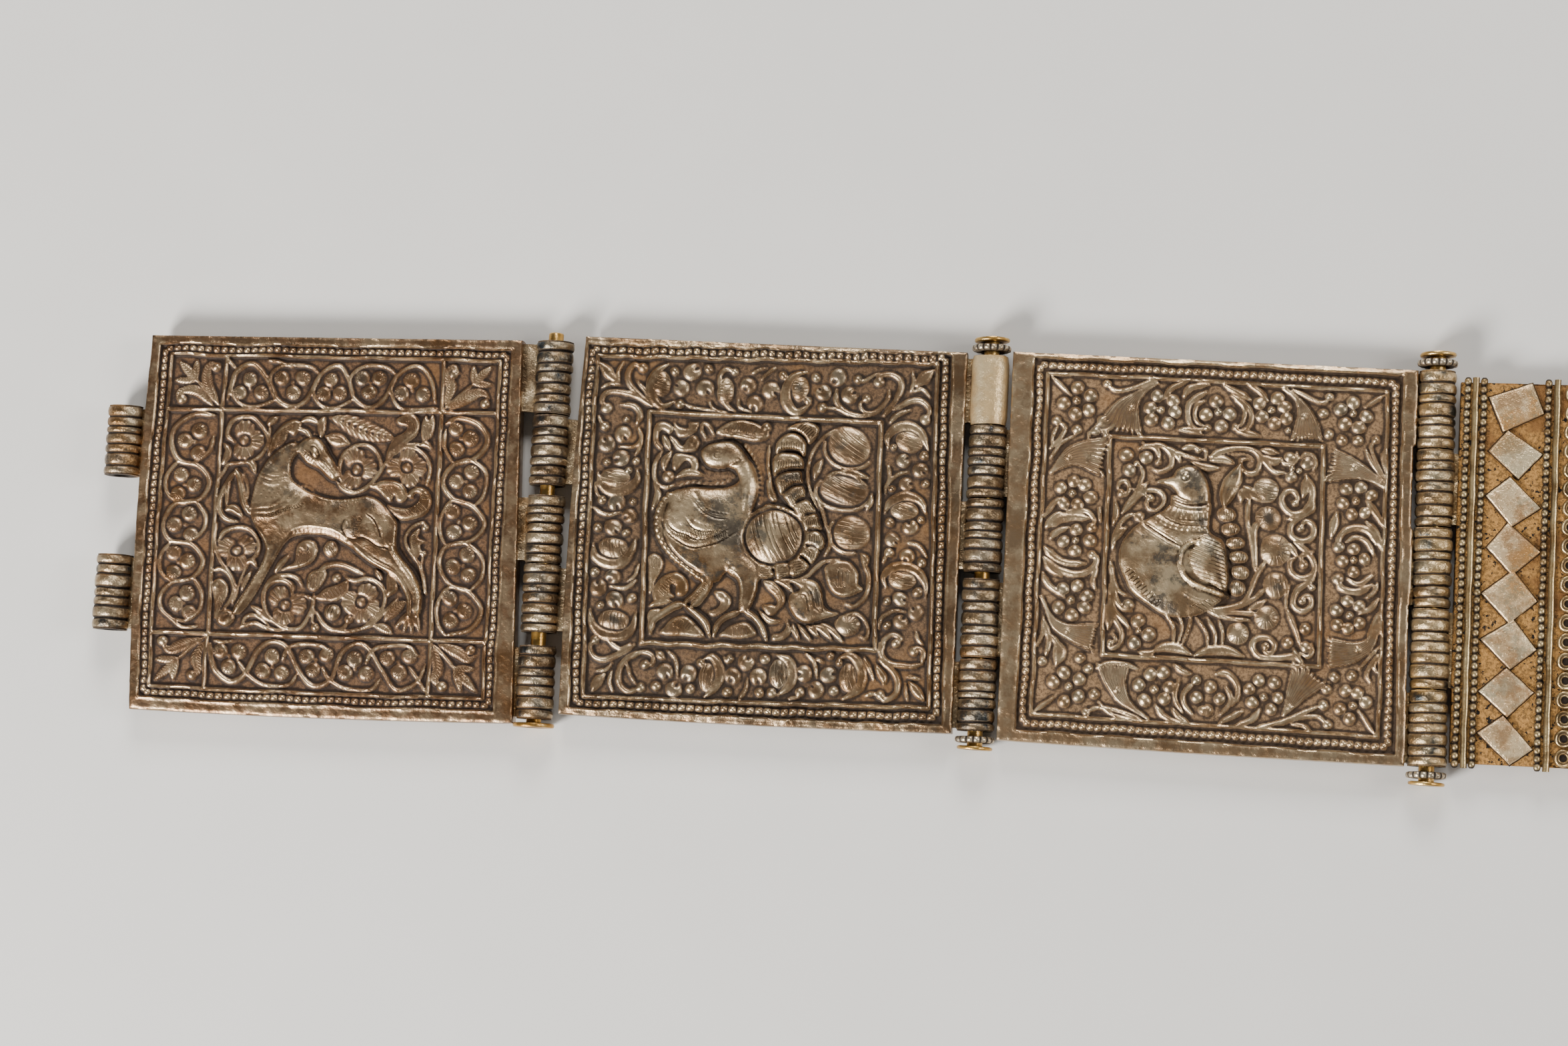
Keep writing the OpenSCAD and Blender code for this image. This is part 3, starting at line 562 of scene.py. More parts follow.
# Border of the antelope plaque: four straight lines, and vines that wind round threes of berries
ANTELOPE_BORDER = """
y .6 .8 1 20.7 5.5 19.6 93.6
y .6 .8 1 79.4 5.8 78.2 93.6
y .6 .8 1 6.2 19.9 93.6 19.4
y .6 .8 1 5.4 79.8 92.4 79.6
v .62 21.8 17 22.6 12.5 23.7 9.5 27.8 7.3 32 11 34.7 16.7 39 18.7 43 16.5 46 10.1 50.7 7.3 54 11 55.8 16.2 60 18.7 64
 16 67.1 9.9 72 7.3 75.8 10.5 77.3 17
v .5 23.7 9.5 22.3 14 25.2 18.3 29 18.9 34.7 16.7
v .5 34.7 16.7 33 11 35.5 8 39 7.4 43.5 7.8 46 10.1
v .5 46 10.1 44.6 14.5 47 18.2 51 18.8 55.8 16.2
v .5 55.8 16.2 54.4 11 57 8 60.5 7.3 64.5 7.8 67.1 9.9
v .5 67.1 9.9 65.6 14 67.5 18 72 18.7 78.5 18.6
v .45 20.4 5.4 22 7.5 23.4 9
v .45 32 6.4 35 6.8 39 8.2
s 2.05 27.4 11.6 24.8 15.3 30.7 15 35.9 11.1 41.5 10.9 39 14.9 49 11.4 47.4 15 51.8 14.8 57.8 10.7 62.2 10.7 59.7 14.5
 70.8 11.2 68.3 14.5 74 14.7
v .62 80.5 22.5 84 20.8 89 22.5 91.5 27 88.5 31.5 82.8 33.3 80.2 38 83 42.5 88.5 44.3 91.5 49 88 53.5 81.5 55 80 60 83
 65 88 66.8 91.3 71.5 88.5 76.5 82 78.3
v .5 80.6 24 80.3 29 82.8 33.3
v .5 82.8 33.3 87 31.8 91.3 35 91.2 41 88.5 44.3
v .5 88.5 44.3 83 42.8 80.2 47 80 51.5 81.5 55
v .5 81.5 55 86 54 91 57.5 91.2 63 88 66.8
v .5 88 66.8 83 65.8 80 70 80 75 82 78.3
s 2.05 83.3 23.8 87 26.3 83.5 29.2 87.7 35 83.7 37.7 87.3 40.2 83 45.7 87.5 48.7 83.5 51 87.2 57 83.7 60.2 87.7 62.3
 83 68.7 86.8 71.7 83.3 74.3
v .62 18.6 21.5 13 21.2 8.5 24.5 7.6 29.5 9.8 33.7 15 35 18 39 17.3 42.5 14.9 44.5 9.5 45.5 7.2 49.5 7.3 53 9.2 55.5
 14.5 56.5 17.6 60.5 15.3 65.2 10 66.5 7.2 70 7.3 73.5 10 76 13 78.3 17 78
v .5 18.4 27 17.5 31 13.5 34.3 9.8 33.7
v .5 9.8 33.7 6.9 38 7.3 42.7 11 45.4 14.9 44.5
v .5 14.9 44.5 17.6 48 17.2 52.5 13.5 55.6 9.2 55.5
v .5 9.2 55.5 6.6 59.5 6.9 63.7 10.5 66.2 15.3 65.2
v .5 15.3 65.2 17.6 69 17.3 73.5 14 76.4 10 76
s 2.05 14.7 25.8 11.1 28.4 14.7 31.7 10.6 37.6 14 40.2 10 42.8 13.4 48 9.7 51 14 53.7 10 58.7 13.5 60.7 10.2 63.7 14
 69.3 11.3 72.2 14.7 74.2
v .62 20.7 82.3 21.4 87 22.7 89.7 26.5 92 30.3 89.7 33.3 83.7 37 81.3 41 82.7 44 88.3 48.3 92.3 53 90.3 55.3 84 59
 81.3 62.7 82.7 65.7 87.3 69.7 92.3 75 90.5 77 86
v .5 28 86.5 31 89.9 35.7 92.5 41.7 92.3 44 89
v .5 39.7 85.8 41.5 82.5 45 81.6 50 82 52.6 84.5
v .5 50.3 87.7 52.5 90.5 57 92.6 63 92.8 65.5 90
v .5 61.7 86 63.5 82.8 67 81.4 72.3 81.2 75.2 84
v .5 72.7 86.7 75.5 90 78 93.5
v .45 21.5 81.5 24 82 26.5 81.5
s 2.05 23.5 84.3 28.3 84.3 25.7 88.3 37 85.2 34.7 88.8 39.5 89.2 46 84.8 51.2 84.3 48 88.3 58.8 85.3 56.5 88.5 61.8
 88.7 67.3 84.5 72.8 84 70.3 88
"""
# Corner sprays: a pointed bud of three leaves between two curled leaves that end in berries
ANTELOPE_CORNERS = """
v .5 19.6 18.6 16 15 12.6 11.9
l 1.2 13.4 12.6 10.5 9.5 8 7.2
l 1 12.8 12 12.4 9.5 12.5 6.5
l 1 12.8 12.2 9.5 12 7 11.8
l 1.5 19.2 17.4 16 13.4 15.4 10 16.2 7.4 18 7.2
b 1.4 17.9 8.2
l 1.5 18 18.8 14 15.4 10.8 14.6 8.6 15.4 7.8 17
b 1.4 9.2 17.2
v .5 79.8 18.8 84 15 87.7 11.7
l 1.2 87 12.4 90 9.2 92.2 6.8
l 1 87.4 12 87.4 9.5 87.2 6.8
l 1 87.4 12 90 12 92.5 11.8
l 1.5 80.2 18.2 81.4 12.6 80.4 9.8 81.8 7.4 83.4 8.8
b 1.4 81.8 9
l 1.5 81 19 86.6 15 90 14.2 91.8 15.6
b 1.4 90.8 17
v .5 79 80.6 82 83.6 85 86.7
l 1.2 84.4 86 87.6 89.6 90.5 92.6
l 1 85 86.6 86 89.6 86.5 92.6
l 1 85 86.4 87.6 86.8 90.2 86.8
l 1.5 80.2 80.6 85.6 82.6 88.4 84.4 90.4 83.2
b 1.4 88.8 81.8
l 1.5 79.2 81.4 80.4 86.6 80 89.6 81.6 91.6
b 1.4 81.9 91.4
v .5 19 80.6 15 84 12 86.7
l 1.2 12.8 86 9.6 89.4 6.6 92.3
l 1 12.4 86.6 11.4 89.6 11.3 92.4
l 1 12.4 86.4 9.4 86.8 6.2 86.8
l 1.5 18.4 80.8 13.4 83 10 84.4 7.8 83
b 1.4 8 82.2
l 1.5 19 81.6 17.4 86 17.8 89.4 16.4 91.4
b 1.4 16.2 90.8
"""
# Flowers, tendrils and leaves round the antelope
ANTELOPE_PANEL = """
v .55 24.1 28.3 22.1 26.5 22.7 23.6 24.6 22 27.9 21.7 30.2 23.1 32.1 25.2 33.1 27.6 32.5 30 30.8 32.4 28.4 33.7 25.5
 34 22.8 34.5 21.5 36.7 20.8 38.6
w 5 26.7 27.9 92 2 268
v .35 33.3 28.9 33.5 26 33.2 23.4
m 1 32.8 23.6 34 22.4 35.4 21.4
a .8 33.2 32 33.4 28.5 35 25.4 37.3 23 40 22 41.8 23.2 41.2 25.4 39.8 26.5 38.5 25.8 38 27.6 37 29.2 35.2 30.4 34 32
k .3 33.8 30 35.2 26.4 37.6 24 40.2 22.9
t 8 35 29.6 37.4 24.6 37.2 28.8 39.6 23.6
m .9 41.4 22.8 44 21.8 46.8 23.2
a .7 46.8 26 46.2 22.8 48 21.2 48.7 23.2 47.8 25.6
g .22 42.2 23.4 44.6 25 47 27.2
g .22 41.4 24.2 44 25.8 46.2 27.8
m 1 21.3 28.8 22.7 31 21.2 34.8
m .9 27.6 34 29.2 34.4 30.3 36.8
j 2.9 1.7 49.6 21.6 53.6 22.6 60 25 67 27
m 1.7 48.6 26.4 51.6 27.3 54.8 28.4
g .18 49.6 27.1 51 27 53 27.3
v .55 53.4 38.8 52.6 35.6 52.8 33 54.1 30.5 56.6 28.9 59.5 28.6 61.9 30 63.4 32.4 63.6 34.8
v .55 52 38.3 54.2 40.5 56.8 41.4 59.5 40.4 61.6 38.5 63.4 35.8 65.2 32.8 67.4 30.2 70 28.4 73.4 28 76.8 29
w 5.3 57.1 35.1 105 5 245
v .55 66.2 31.4 69.6 28.9 73 29.2 75.8 31.8 76.6 35 76 38.8
w 5 70.5 34.4 80 180 5 285
a .8 64.8 32 65.6 28.4 67 26.4 69.4 25 70 23.6 68 23.2 67 21.8 69 20.2 72 20.2 73.6 22.6 73 25.4 70.8 27.6 67.6 30 66
 31.8
t 5 69.6 21.8 72.4 23 70.4 25 72.6 25.6
k .3 66.4 30 70 27 72.6 24.6 73 22
a .8 74 22.6 75 20.4 75.8 21.6 76.8 20.2 77.5 23 76.8 26 74.8 27.4 74 25.4
t 5 74.4 23 77 23 74.6 26.4 76.4 26.4
m .8 74 28.6 75.4 27.8 77 29.4
a .7 61 39.8 64 38 67.6 38 70.2 39.6 71 42 69.8 43.6 68.2 43.2 67.5 41.8 66.6 43.4 64.6 42 62.8 40.6
k .3 61.8 39.6 65 38.7 68.4 39 70.2 41.4
t 5 63.6 40.2 67 39.8 65.2 42.4 68.4 41.8
v .5 20.8 50.4 20.4 54 21 57.4 22.4 60.6 24.8 63.6 26.4 66.6 26.9 69 25.8 71.8
v .55 21.4 55 23 52.6 26 51.4 29 51.6 31.2 53.4 32.2 56 31.6 58.6 29.6 60.4
w 5.1 26.4 57.6 165 30 272
v .35 26.6 70.6 27.5 66 28.7 62.4 30 60.8
m .8 28.2 68.4 29 65.6 30.2 63
m .8 29 61 30.4 60.2 31.8 61.6
v .5 20.2 63.4 22.6 62.6 24.8 64.2 26 67.2 25.5 70.2 23.6 73.4 22 75.8
a .8 21.2 76 21.2 72 20.5 68.4 20.6 66 22.4 65 24.4 66.4 24.7 69 23.6 71.8 22.2 75
t 6 21.2 71.6 24.4 68.6 22.2 75 24.2 71.6
b 1.2 21.5 67
a .8 36.6 63.8 39.6 62.2 43 61.8 46.4 60.2 47.8 57.4 47.2 54.8 44.8 54 42.6 55.2 42 57 41.7 60.2 39.4 61.6
g .3 42.6 55.8 44 57.2 45.4 56.6 44.8 55.4
t 7 42.2 58 46.2 57 41.6 61.2 45.6 60
k .3 38.6 62.8 43 61.4 46.4 59.4 47 56.8 46 54.8
m .9 36.8 63 38.4 60.4 40.2 58.4
v .6 41.6 69 41.2 66.6 39 65.2 36.4 65.6 34.4 67.6 33.9 70.4 35 73.6 37.6 76.4 41 77.8 44 77.4 46 74.4 47.2 71.4 47.5
 68.4
v .6 34.2 67 36.6 64.5 40 63.9 42.6 64.7 44 66.5
w 5.2 40 71.6 130 5 262
m .9 30.6 72.2 33.6 73.8 36.4 76.4
v .5 28.8 77.3 29.8 75 32.4 74.7 36 77.2
v .55 28.4 77.7 32 76.7 35.6 78 40 78.3
v .4 44.4 68.8 46 69.4 47.6 69.6 49.4 68.2
v .4 47.5 72.4 47 75.4 47.7 76.8
b 1.2 47.9 77.2
a .8 45.4 64.2 46.6 62.6 49.6 61.8 50.4 63.8 48.8 67 47 67.9 45.5 66.8
t 4 46 63.6 50 62.6 46.2 67.4 49 67
v .7 48.2 62.4 51 60.8 55 60.8 60.4 62.8
d 1.9 2.3 10 60 .8 51.2 56.6
b 1.2 53.2 64.2
a .8 48.2 69.8 50 67.2 53 66 56 64.6 56.4 66.4 55.4 68.6 53 70.2 50.4 70.2
t 6 49.4 68.8 54.8 65.8 51 70 55.4 68
v .55 55.6 64 58 64.7 60.6 63.9 63.4 64.7 65.6 67 66 70 64.6 73 61.6 75.8
v .5 60 77 63.6 75.2 66.4 72.2 69.4 69
w 5.1 59.8 70.2 60 330 275 178
m 1.6 66.4 62.4 67.8 65.4 66.8 68.6
m .7 63.2 61.4 64 62.8 64.8 64.4
l 1.6 66.2 75 68.6 72 71.8 69.6
l 1.2 63.4 76.2 66 76.9 68.4 78.6
m .9 55 71.4 56.4 72.4 57.8 73.6
d 2.2 2.2 0 100 1 52.3 73.1
c .6 1.2 48 73.2 49.8 76 52.6 77.6 55.4 77 56.7 74.8
v .5 54 78.1 58 77.7 62 76.6 63.8 76.2
c .45 1 76.4 67.4 75.9 63.4 74.6 60 72.8 57.4 71.2 54.6 71.2 52 72.8 50 75.2 48.9 75.9 50.2
a .6 72 53 73.4 51 74.6 50.6 74.4 52.8 76.2 53.8 74.8 54.8 75 56.6 73.8 58.4 72.6 56.4
t 4 72.6 52 72.8 56 73.8 51.6 74.2 55.4
c .35 .8 76.8 67.6 76 64 75.2 60.4 75.5 57
"""
# Tail, raised foreleg, body with its other legs, thighs and shoulder, and head with its eye
ANTELOPE_FIGURE = """
x .85 1.4 65.6 44.4 68.6 45 71.6 45 73.8 43.4 74.2 41.4 73 41.4 72.2 42.6 71 42 71.5 40.4 73.8 39.3 76.4 40.3 77.4 43
 76.3 46.2 73.4 47.9 69 48.2
t 6 70 45.6 74.6 43.6 71.6 47.4 76.6 45.4
t 3 74.4 42.8 74.6 40 77 42.6 76.6 40
y 1.25 .95 .8 29.2 47.6 27.6 44.4 26.9 40.6 26.2 38 25 35.8
y .85 .85 .95 25.2 36 23.4 38.8 21.8 42.2 21.1 45 21.5 47.4 23 49.4 26 50.1
y .5 .7 .9 23.8 39.2 23 42.6 22.9 45.8
z 1.3 .85 .4 22.4 46.9 24.8 46.4 27.4 48.6
q .3 -.5 27 36.6 28.3 40 28.7 44
x 1.25 4.5 29.5 47.5 30 42 31.2 37 34.5 31.8 39 28.6 43 29.4 40.6 32.2 39.4 35.3 40.4 38.8 44 41 50 43.1 56 43.2 61
 42.4 65 44.4 68.3 48.5 68.6 54 70.3 59.1 73.4 63.2 75.8 69 75.2 73.6 72.8 72 73 69.8 70 65 65.6 61.2 60 58.4 56.5 56
 51 53.2 46 52.6 41.5 53.4 38.5 55.9 35.8 61 32.5 68 28.3 74 26 73.4 30.4 65.6 33.4 59.8 33.8 56 31.4 51.5
y 1.3 1.15 .7 57 55 63 59.4 68.6 62.6 72.4 68 72.6 74
y 1.5 1.3 .7 66 54 70 60 74.4 66 75 73.6
z 1 .85 .3 74 71.6 75.2 77.2
z 1 .85 .3 74 71.6 73.2 77.7
z 1 .85 .3 74 71.6 71.2 77.7
z 1 .85 .3 74 71.6 69.2 76.8
x 1 1.8 22 76.8 21.8 75 22.8 73.6 24.8 73.2 26.6 74.2 26.3 76.4 24.4 77.7
q .25 .3 23.4 77 23.8 75.2 25 74.6
y 1.5 1.2 .7 36 52 34.6 60 30.6 68 26.8 73.8
e 56.8 50.4 3.2 3.4 0 .3
e 63.4 50.6 5.4 7 15 .35
e 37 46.4 7 8 30 .3
e 36 34 4 5 30 .2
x 1.5 2.2 41.2 29.6 43.4 27.4 46.6 27 48.6 28.8 50 31.4 52.2 35 52.6 37 51.4 38.2 49.4 37.4 47 35.4 44.2 34 42.4 32.2
z .9 .95 .3 47.4 27 47.8 24.6 47.6 21.8
z .8 .9 .3 45 27.2 43 25.4 40.4 24.6
e 46.2 31 1.2 1.7 -25 .3
q .24 .3 44.8 30 46 29.3 47.2 31 47 32.4 45.6 32 44.8 30.2
"""
# Dotted mane and belly, engraved folds, and the face
ANTELOPE_DETAILS = """
o .5 .9 29.4 46.6 30.1 42.5 31.4 38.4 33.7 34.3 36.6 31 39.9 28.6 44.1 26.6 46.8 26.4 48.8 28.2
o .45 .9 42 30.6 40 32 39.3 34.6 39.8 37.6 41.6 39.7 44.6 40.5 46.2 41.8 48.6 43 52 43.5 56 43.3 60.4 42.4
k .25 32.6 36.5 35.4 37.1 39.2 36.8
k .25 32.4 37.5 35.2 38.3 39.2 38
k .35 32 38.6 34.8 39.7 39.6 38.7
h .28 35.4 41 36.6 40.8 37.8 40.6 34.6 42 35.8 42 37 41.8 38.4 41.4 34 43.2 35.2 43.2 36.4 43 37.6 42.6 33 41.4 32.4
 42.8 39 40.4
k .3 30.6 46 35 45.6 38.4 43.6 41 40.6
k .3 30.4 47.2 35.4 46.9 39.6 44.7 42.2 41.3
k .35 30.2 48.5 36 48.1 41 45.5 43.6 42.2
t 20 31 49 43.6 44.2 31.6 50 44.4 45
o .4 .8 31 50.6 32.4 52.2 33.8 54.4 35 57
p .3 1 41 52.4 43.4 51.8 46 51.8 50 52.2 55.4 54
k .35 38.8 53.8 42.6 51 47 50.6 52 51.4 55.6 53.2
k .3 57 56.6 61 58.8 66 61.8 70 65.6 73 70.4
p .22 .8 57.4 57.4 62 59.8 67 63 70.2 66.2 72.6 70
o .45 .9 66.4 47 68.2 49.4 68 53 68.2 56.6 70.4 59.4 72.6 61.6 74.4 65.4 75.7 69
g .3 60.2 46.8 62.6 48.6 64.2 51.8 64.6 54
g .3 58.4 53 61 53.8 63.8 55.6 67 56
g .28 55.4 47.8 54.2 50.2 55.2 52.6 57.4 53.8 59.6 53.2
t 8 58 47.6 57.4 53 59.6 48.2 58.6 53.4
g .2 55.8 48.6 56.2 50.4
g .2 56.8 48.4 56.9 50.6
k .3 35 57.4 33 62 30.2 67.6 27.2 73.4
t 22 33.4 59.6 26.6 72.4 34.4 60.2 27.6 73
g .3 47 33.6 49 35.2 50.8 37.2
g .24 48 32.6 49.8 34.2 51.6 36.4
g .22 48.8 31.8 50.4 33.4 52 35.6
g .3 43.6 32.2 46 34 48.6 36.4 50.4 37.8
t 5 42.8 31.6 45.8 34.4 43.8 30.8 46.8 33.4
t 4 48 29.2 49.6 31.6 49 28.6 50.4 31
"""
# Border of the peacock plaque: berries, and crescents that each hold a disc
PEACOCK_BORDER = """
n 2.3 28.8 8.3 26.2 12.7 32.4 12.4 43.7 11.2 45.8 16 49.7 12.3 63.3 12.2 66.9 8.1 70.2 12.7 7.7 28.3 11.8 25.7 11.8 32
 11.5 43.8 11.2 50.6 8.4 66.8 12.7 69.7
n 2 15 47.5 12 63.7 84.8 29.3 89.3 31.8 86 35.8 87.5 47 83 50.6 87 54.7 85.7 66 89.8 69.2 86 72
n 2.2 26.7 87.7 32.8 88 29.2 92.2 47.5 84.5 44 88 50.7 88 62.2 86.5 68.5 86.7 65.5 90.5
b 1.3 6.9 23.7 7.8 43.3 7.2 51 7.3 62.7 17 69 24.2 8.4 32.9 7.2 26 17 52.7 8.2 61 8.2 72.3 8.3 63.3 16.2 82.3 46 90.7
 56.3 24.7 91.7 33.3 91.7 43 92.3 52 83.3 51.2 92 61.3 91.3 70.2 90.7 54.3 91.7 82.3 54 90.2 28
b 1 8.2 33.3 15.8 32.7 14 35.3 15.8 43.7 14.5 51.8 9 71.3 82.3 37 90.8 35.3 82.3 66.8 82.7 73 68.7 81.7 43 83.7
m 1.5 22.4 6.6 19.2 9 18.2 12.6 19.2 15.8 21.6 17.9 24.6 16.4
d 2.5 3.5 0 20 .8 20.9 11.9
c .7 1 40.7 18.3 38.6 17 36.7 14 36 9.6 37.4 7.2 39.8 7.9
d 2.4 3.8 0 0 .9 37.7 13
m 1.5 58.6 7 55.4 8.4 53.6 12 54 15.6 56.6 17.8 60.2 15.4
b 1.1 59.4 14.6
d 2.4 3.4 0 0 .9 57.2 11.6
v .7 66.7 11.3 67 14.7 69.7 17.3 74 18 78 16.3 80 13.3 80.2 10.6
c .5 1.2 78 17 74.4 17 73 15 74.7 13.4
v .4 63.4 16.4 66.7 16.4 70.3 18.3
v .4 50.7 6.2 48.6 7.8 47 9.6
v .4 44.3 7.8 46.4 6.8 48.4 6.6
v .4 72.5 9.4 75 8 77.4 6.4
v .4 27.2 16.9 30 17.8 39 18.6
v .4 41.2 15 41.8 17.2 45 18.4
v .4 33.6 16 34.4 17.4 36 18.3
m 1.5 6.2 36.2 7.4 39.4 10.6 41.2 14 40.4 16.4 37.6 16.2 35
d 4.2 3 0 10 .9 10.8 37.6
m 1.5 6.2 55 7.2 58.6 10.4 60.3 13.8 59.6 16.2 56.6 17 53.4
d 4 3 0 80 .9 11.6 56.2
m 1.5 6.6 72.4 7.8 76.6 11 79 14.6 79 17.6 76.6 18.4 72.8
d 4.2 2.9 0 90 .9 12.8 75.2
v .5 15.7 23.7 16.8 26.6 15 29 11 29
v .5 17.2 27 16.4 29.4 15.4 31.4
v .5 5.7 38.7 6.2 41.4 7.4 43
v .6 5.7 45.7 8.7 47.2 12.7 46.5
v .6 17.7 64.3 15.2 66.3 11.3 66.3
v .5 18.4 60 17.4 63 15.4 64.6
v .5 5.2 21 6 22.6 7 24
m 1.45 80.6 26.4 80.4 23.2 82.6 20.9 86 20.4 89.2 22.2 91.2 26.6
d 4 2.9 20 20 .9 86.2 24.4
b 1 82 25.8
m 1.45 80.8 43.6 82.3 40.4 85.7 39 89.7 40 91.3 43
d 3.7 2.6 0 20 .9 85.8 42.6
b 1 90 45
m 1.45 82 63.4 81.3 60.6 83.4 58.2 86.4 57.4 89.7 58.7 91.8 62 92 65.4
d 3.6 2.7 0 10 .9 86 60.9
b 1.4 90 63.9
v .5 80.7 38.3 81 36 83.4 33.4 86.3 32.3
v .5 81 31 81.6 34 80.6 37
v .5 80.8 74 81.4 71 84.3 69.2 87.3 69.2
v .5 87 51 90 52 92 54.8
v .5 90 74 90.6 76 92 77.6
v .5 81 56.6 82 54
m 1.45 37 93.6 39.4 91.6 40.8 88.4 40.2 85.4 38.4 83.2 36.4 83.8
d 2.4 4 0 90 .9 37.6 88.6
b 1.2 35.7 85
m 1.45 55 81.9 58 83.4 59.2 86.8 58.3 90 55.8 92.2
d 2.6 4 0 80 .9 55.8 86.8
m 1.45 70.6 82.4 73.7 81.2 76 83.3 77 86.4 76 89.8 72.4 92.6
d 2.6 3.9 0 80 .9 73.6 87
b 1 71 83.4
v .5 27.3 82.4 29.4 84.6 30 89
m 1.1 24 83 26.4 84.6
v .5 41.5 83.4 42.6 84.6 44 83.6
v .5 46 94 47.6 91 48 88.4
v .5 62.3 81.2 64.7 83.4 65.7 87.6
v .5 65.2 82.4 67 83.4
v .5 58.6 93.2 61.3 92.6
v .5 78 91.4 80 90.8 83 91.2
"""
# Corner sprays of curls and leaves
PEACOCK_CORNERS = """
m 1.6 9.2 11.6 6.6 9.2 4.2 6.8
v .5 9.8 11.6 9.4 9 10.4 6.4
v .5 10.2 12.4 7.4 12.2 5 13.6
c .8 1.5 19 18 14.3 14.3 12.2 11.6 12 8.8 13.3 6.9 15.5 7.5
v .6 14.4 11.6 16.6 13.8 18.2 17
c .8 1.5 19 18 15.6 15.9 12.3 14.7 9 14.2 6.4 14.9 5.6 17 7 18.8
v .8 15.2 22.6 15.8 20.6 15.2 19 13.6 17.8 10.4 17.6
b .9 12.4 21.6
c .8 1.4 81.6 13.6 83.3 10.6 83.2 8 80.7 6.5 77.5 7.4 77.6 8.8
v .5 86 11 86.6 8.4 86 5.8
m 1.6 87.2 9.8 89.2 7 91.8 4.8
v .5 86.6 11 89 10.3 91.2 12.4
c .8 1.5 81.6 16 85.7 13.6 89 13.5 91 15.8 90 18.2
v .7 81 19.4 82.7 17.2 86 15.8
v .8 79.4 17.6 81.4 14.4 83.2 12
c .8 1.4 92 82.6 92.2 79.4 90.4 78.4 89.8 79.4
v .8 81 77.6 81.7 81 84 82.8 89 83.4 92 82.6
c .7 1.2 82 79 82.2 76.8 84.3 75.5 86.2 76.6 85.2 77.6
v .5 88.4 86 91.6 86.6
m 1.2 88.8 87.4 90.8 89.6 93 92
v .5 88 88 88.2 90 88.8 92.4
c .8 1.3 81 82 84.3 84.4 86 87.4 85.7 90.7 82.8 92.2 81.7 91
m 1.1 80.2 83.4 82.2 86.4 82.6 88.4
v .6 77.4 82 78.8 84.6 80 87.4
c .8 1.3 18.4 81 15.7 83.3 11.7 85.2 8.3 84.8 7 82.3 8.4 80.2
v .6 11.7 80.7 14.7 82.6 17.4 80.8
v .5 9 88.4 11.6 87.8 13 86
m 1.3 8.2 93.8 9.6 91 11.4 89
v .5 13 88.3 12.6 91 13.7 93.8
c .8 1.3 20.3 82.7 17 84.7 15 87.7 15 91 17.3 93.3 20.7 92.2
v .5 16.7 86 17.7 89 19.4 91.4
c .6 1.2 17.4 85 20.4 83 23.2 84 23.2 86.2 21.7 86.2
"""
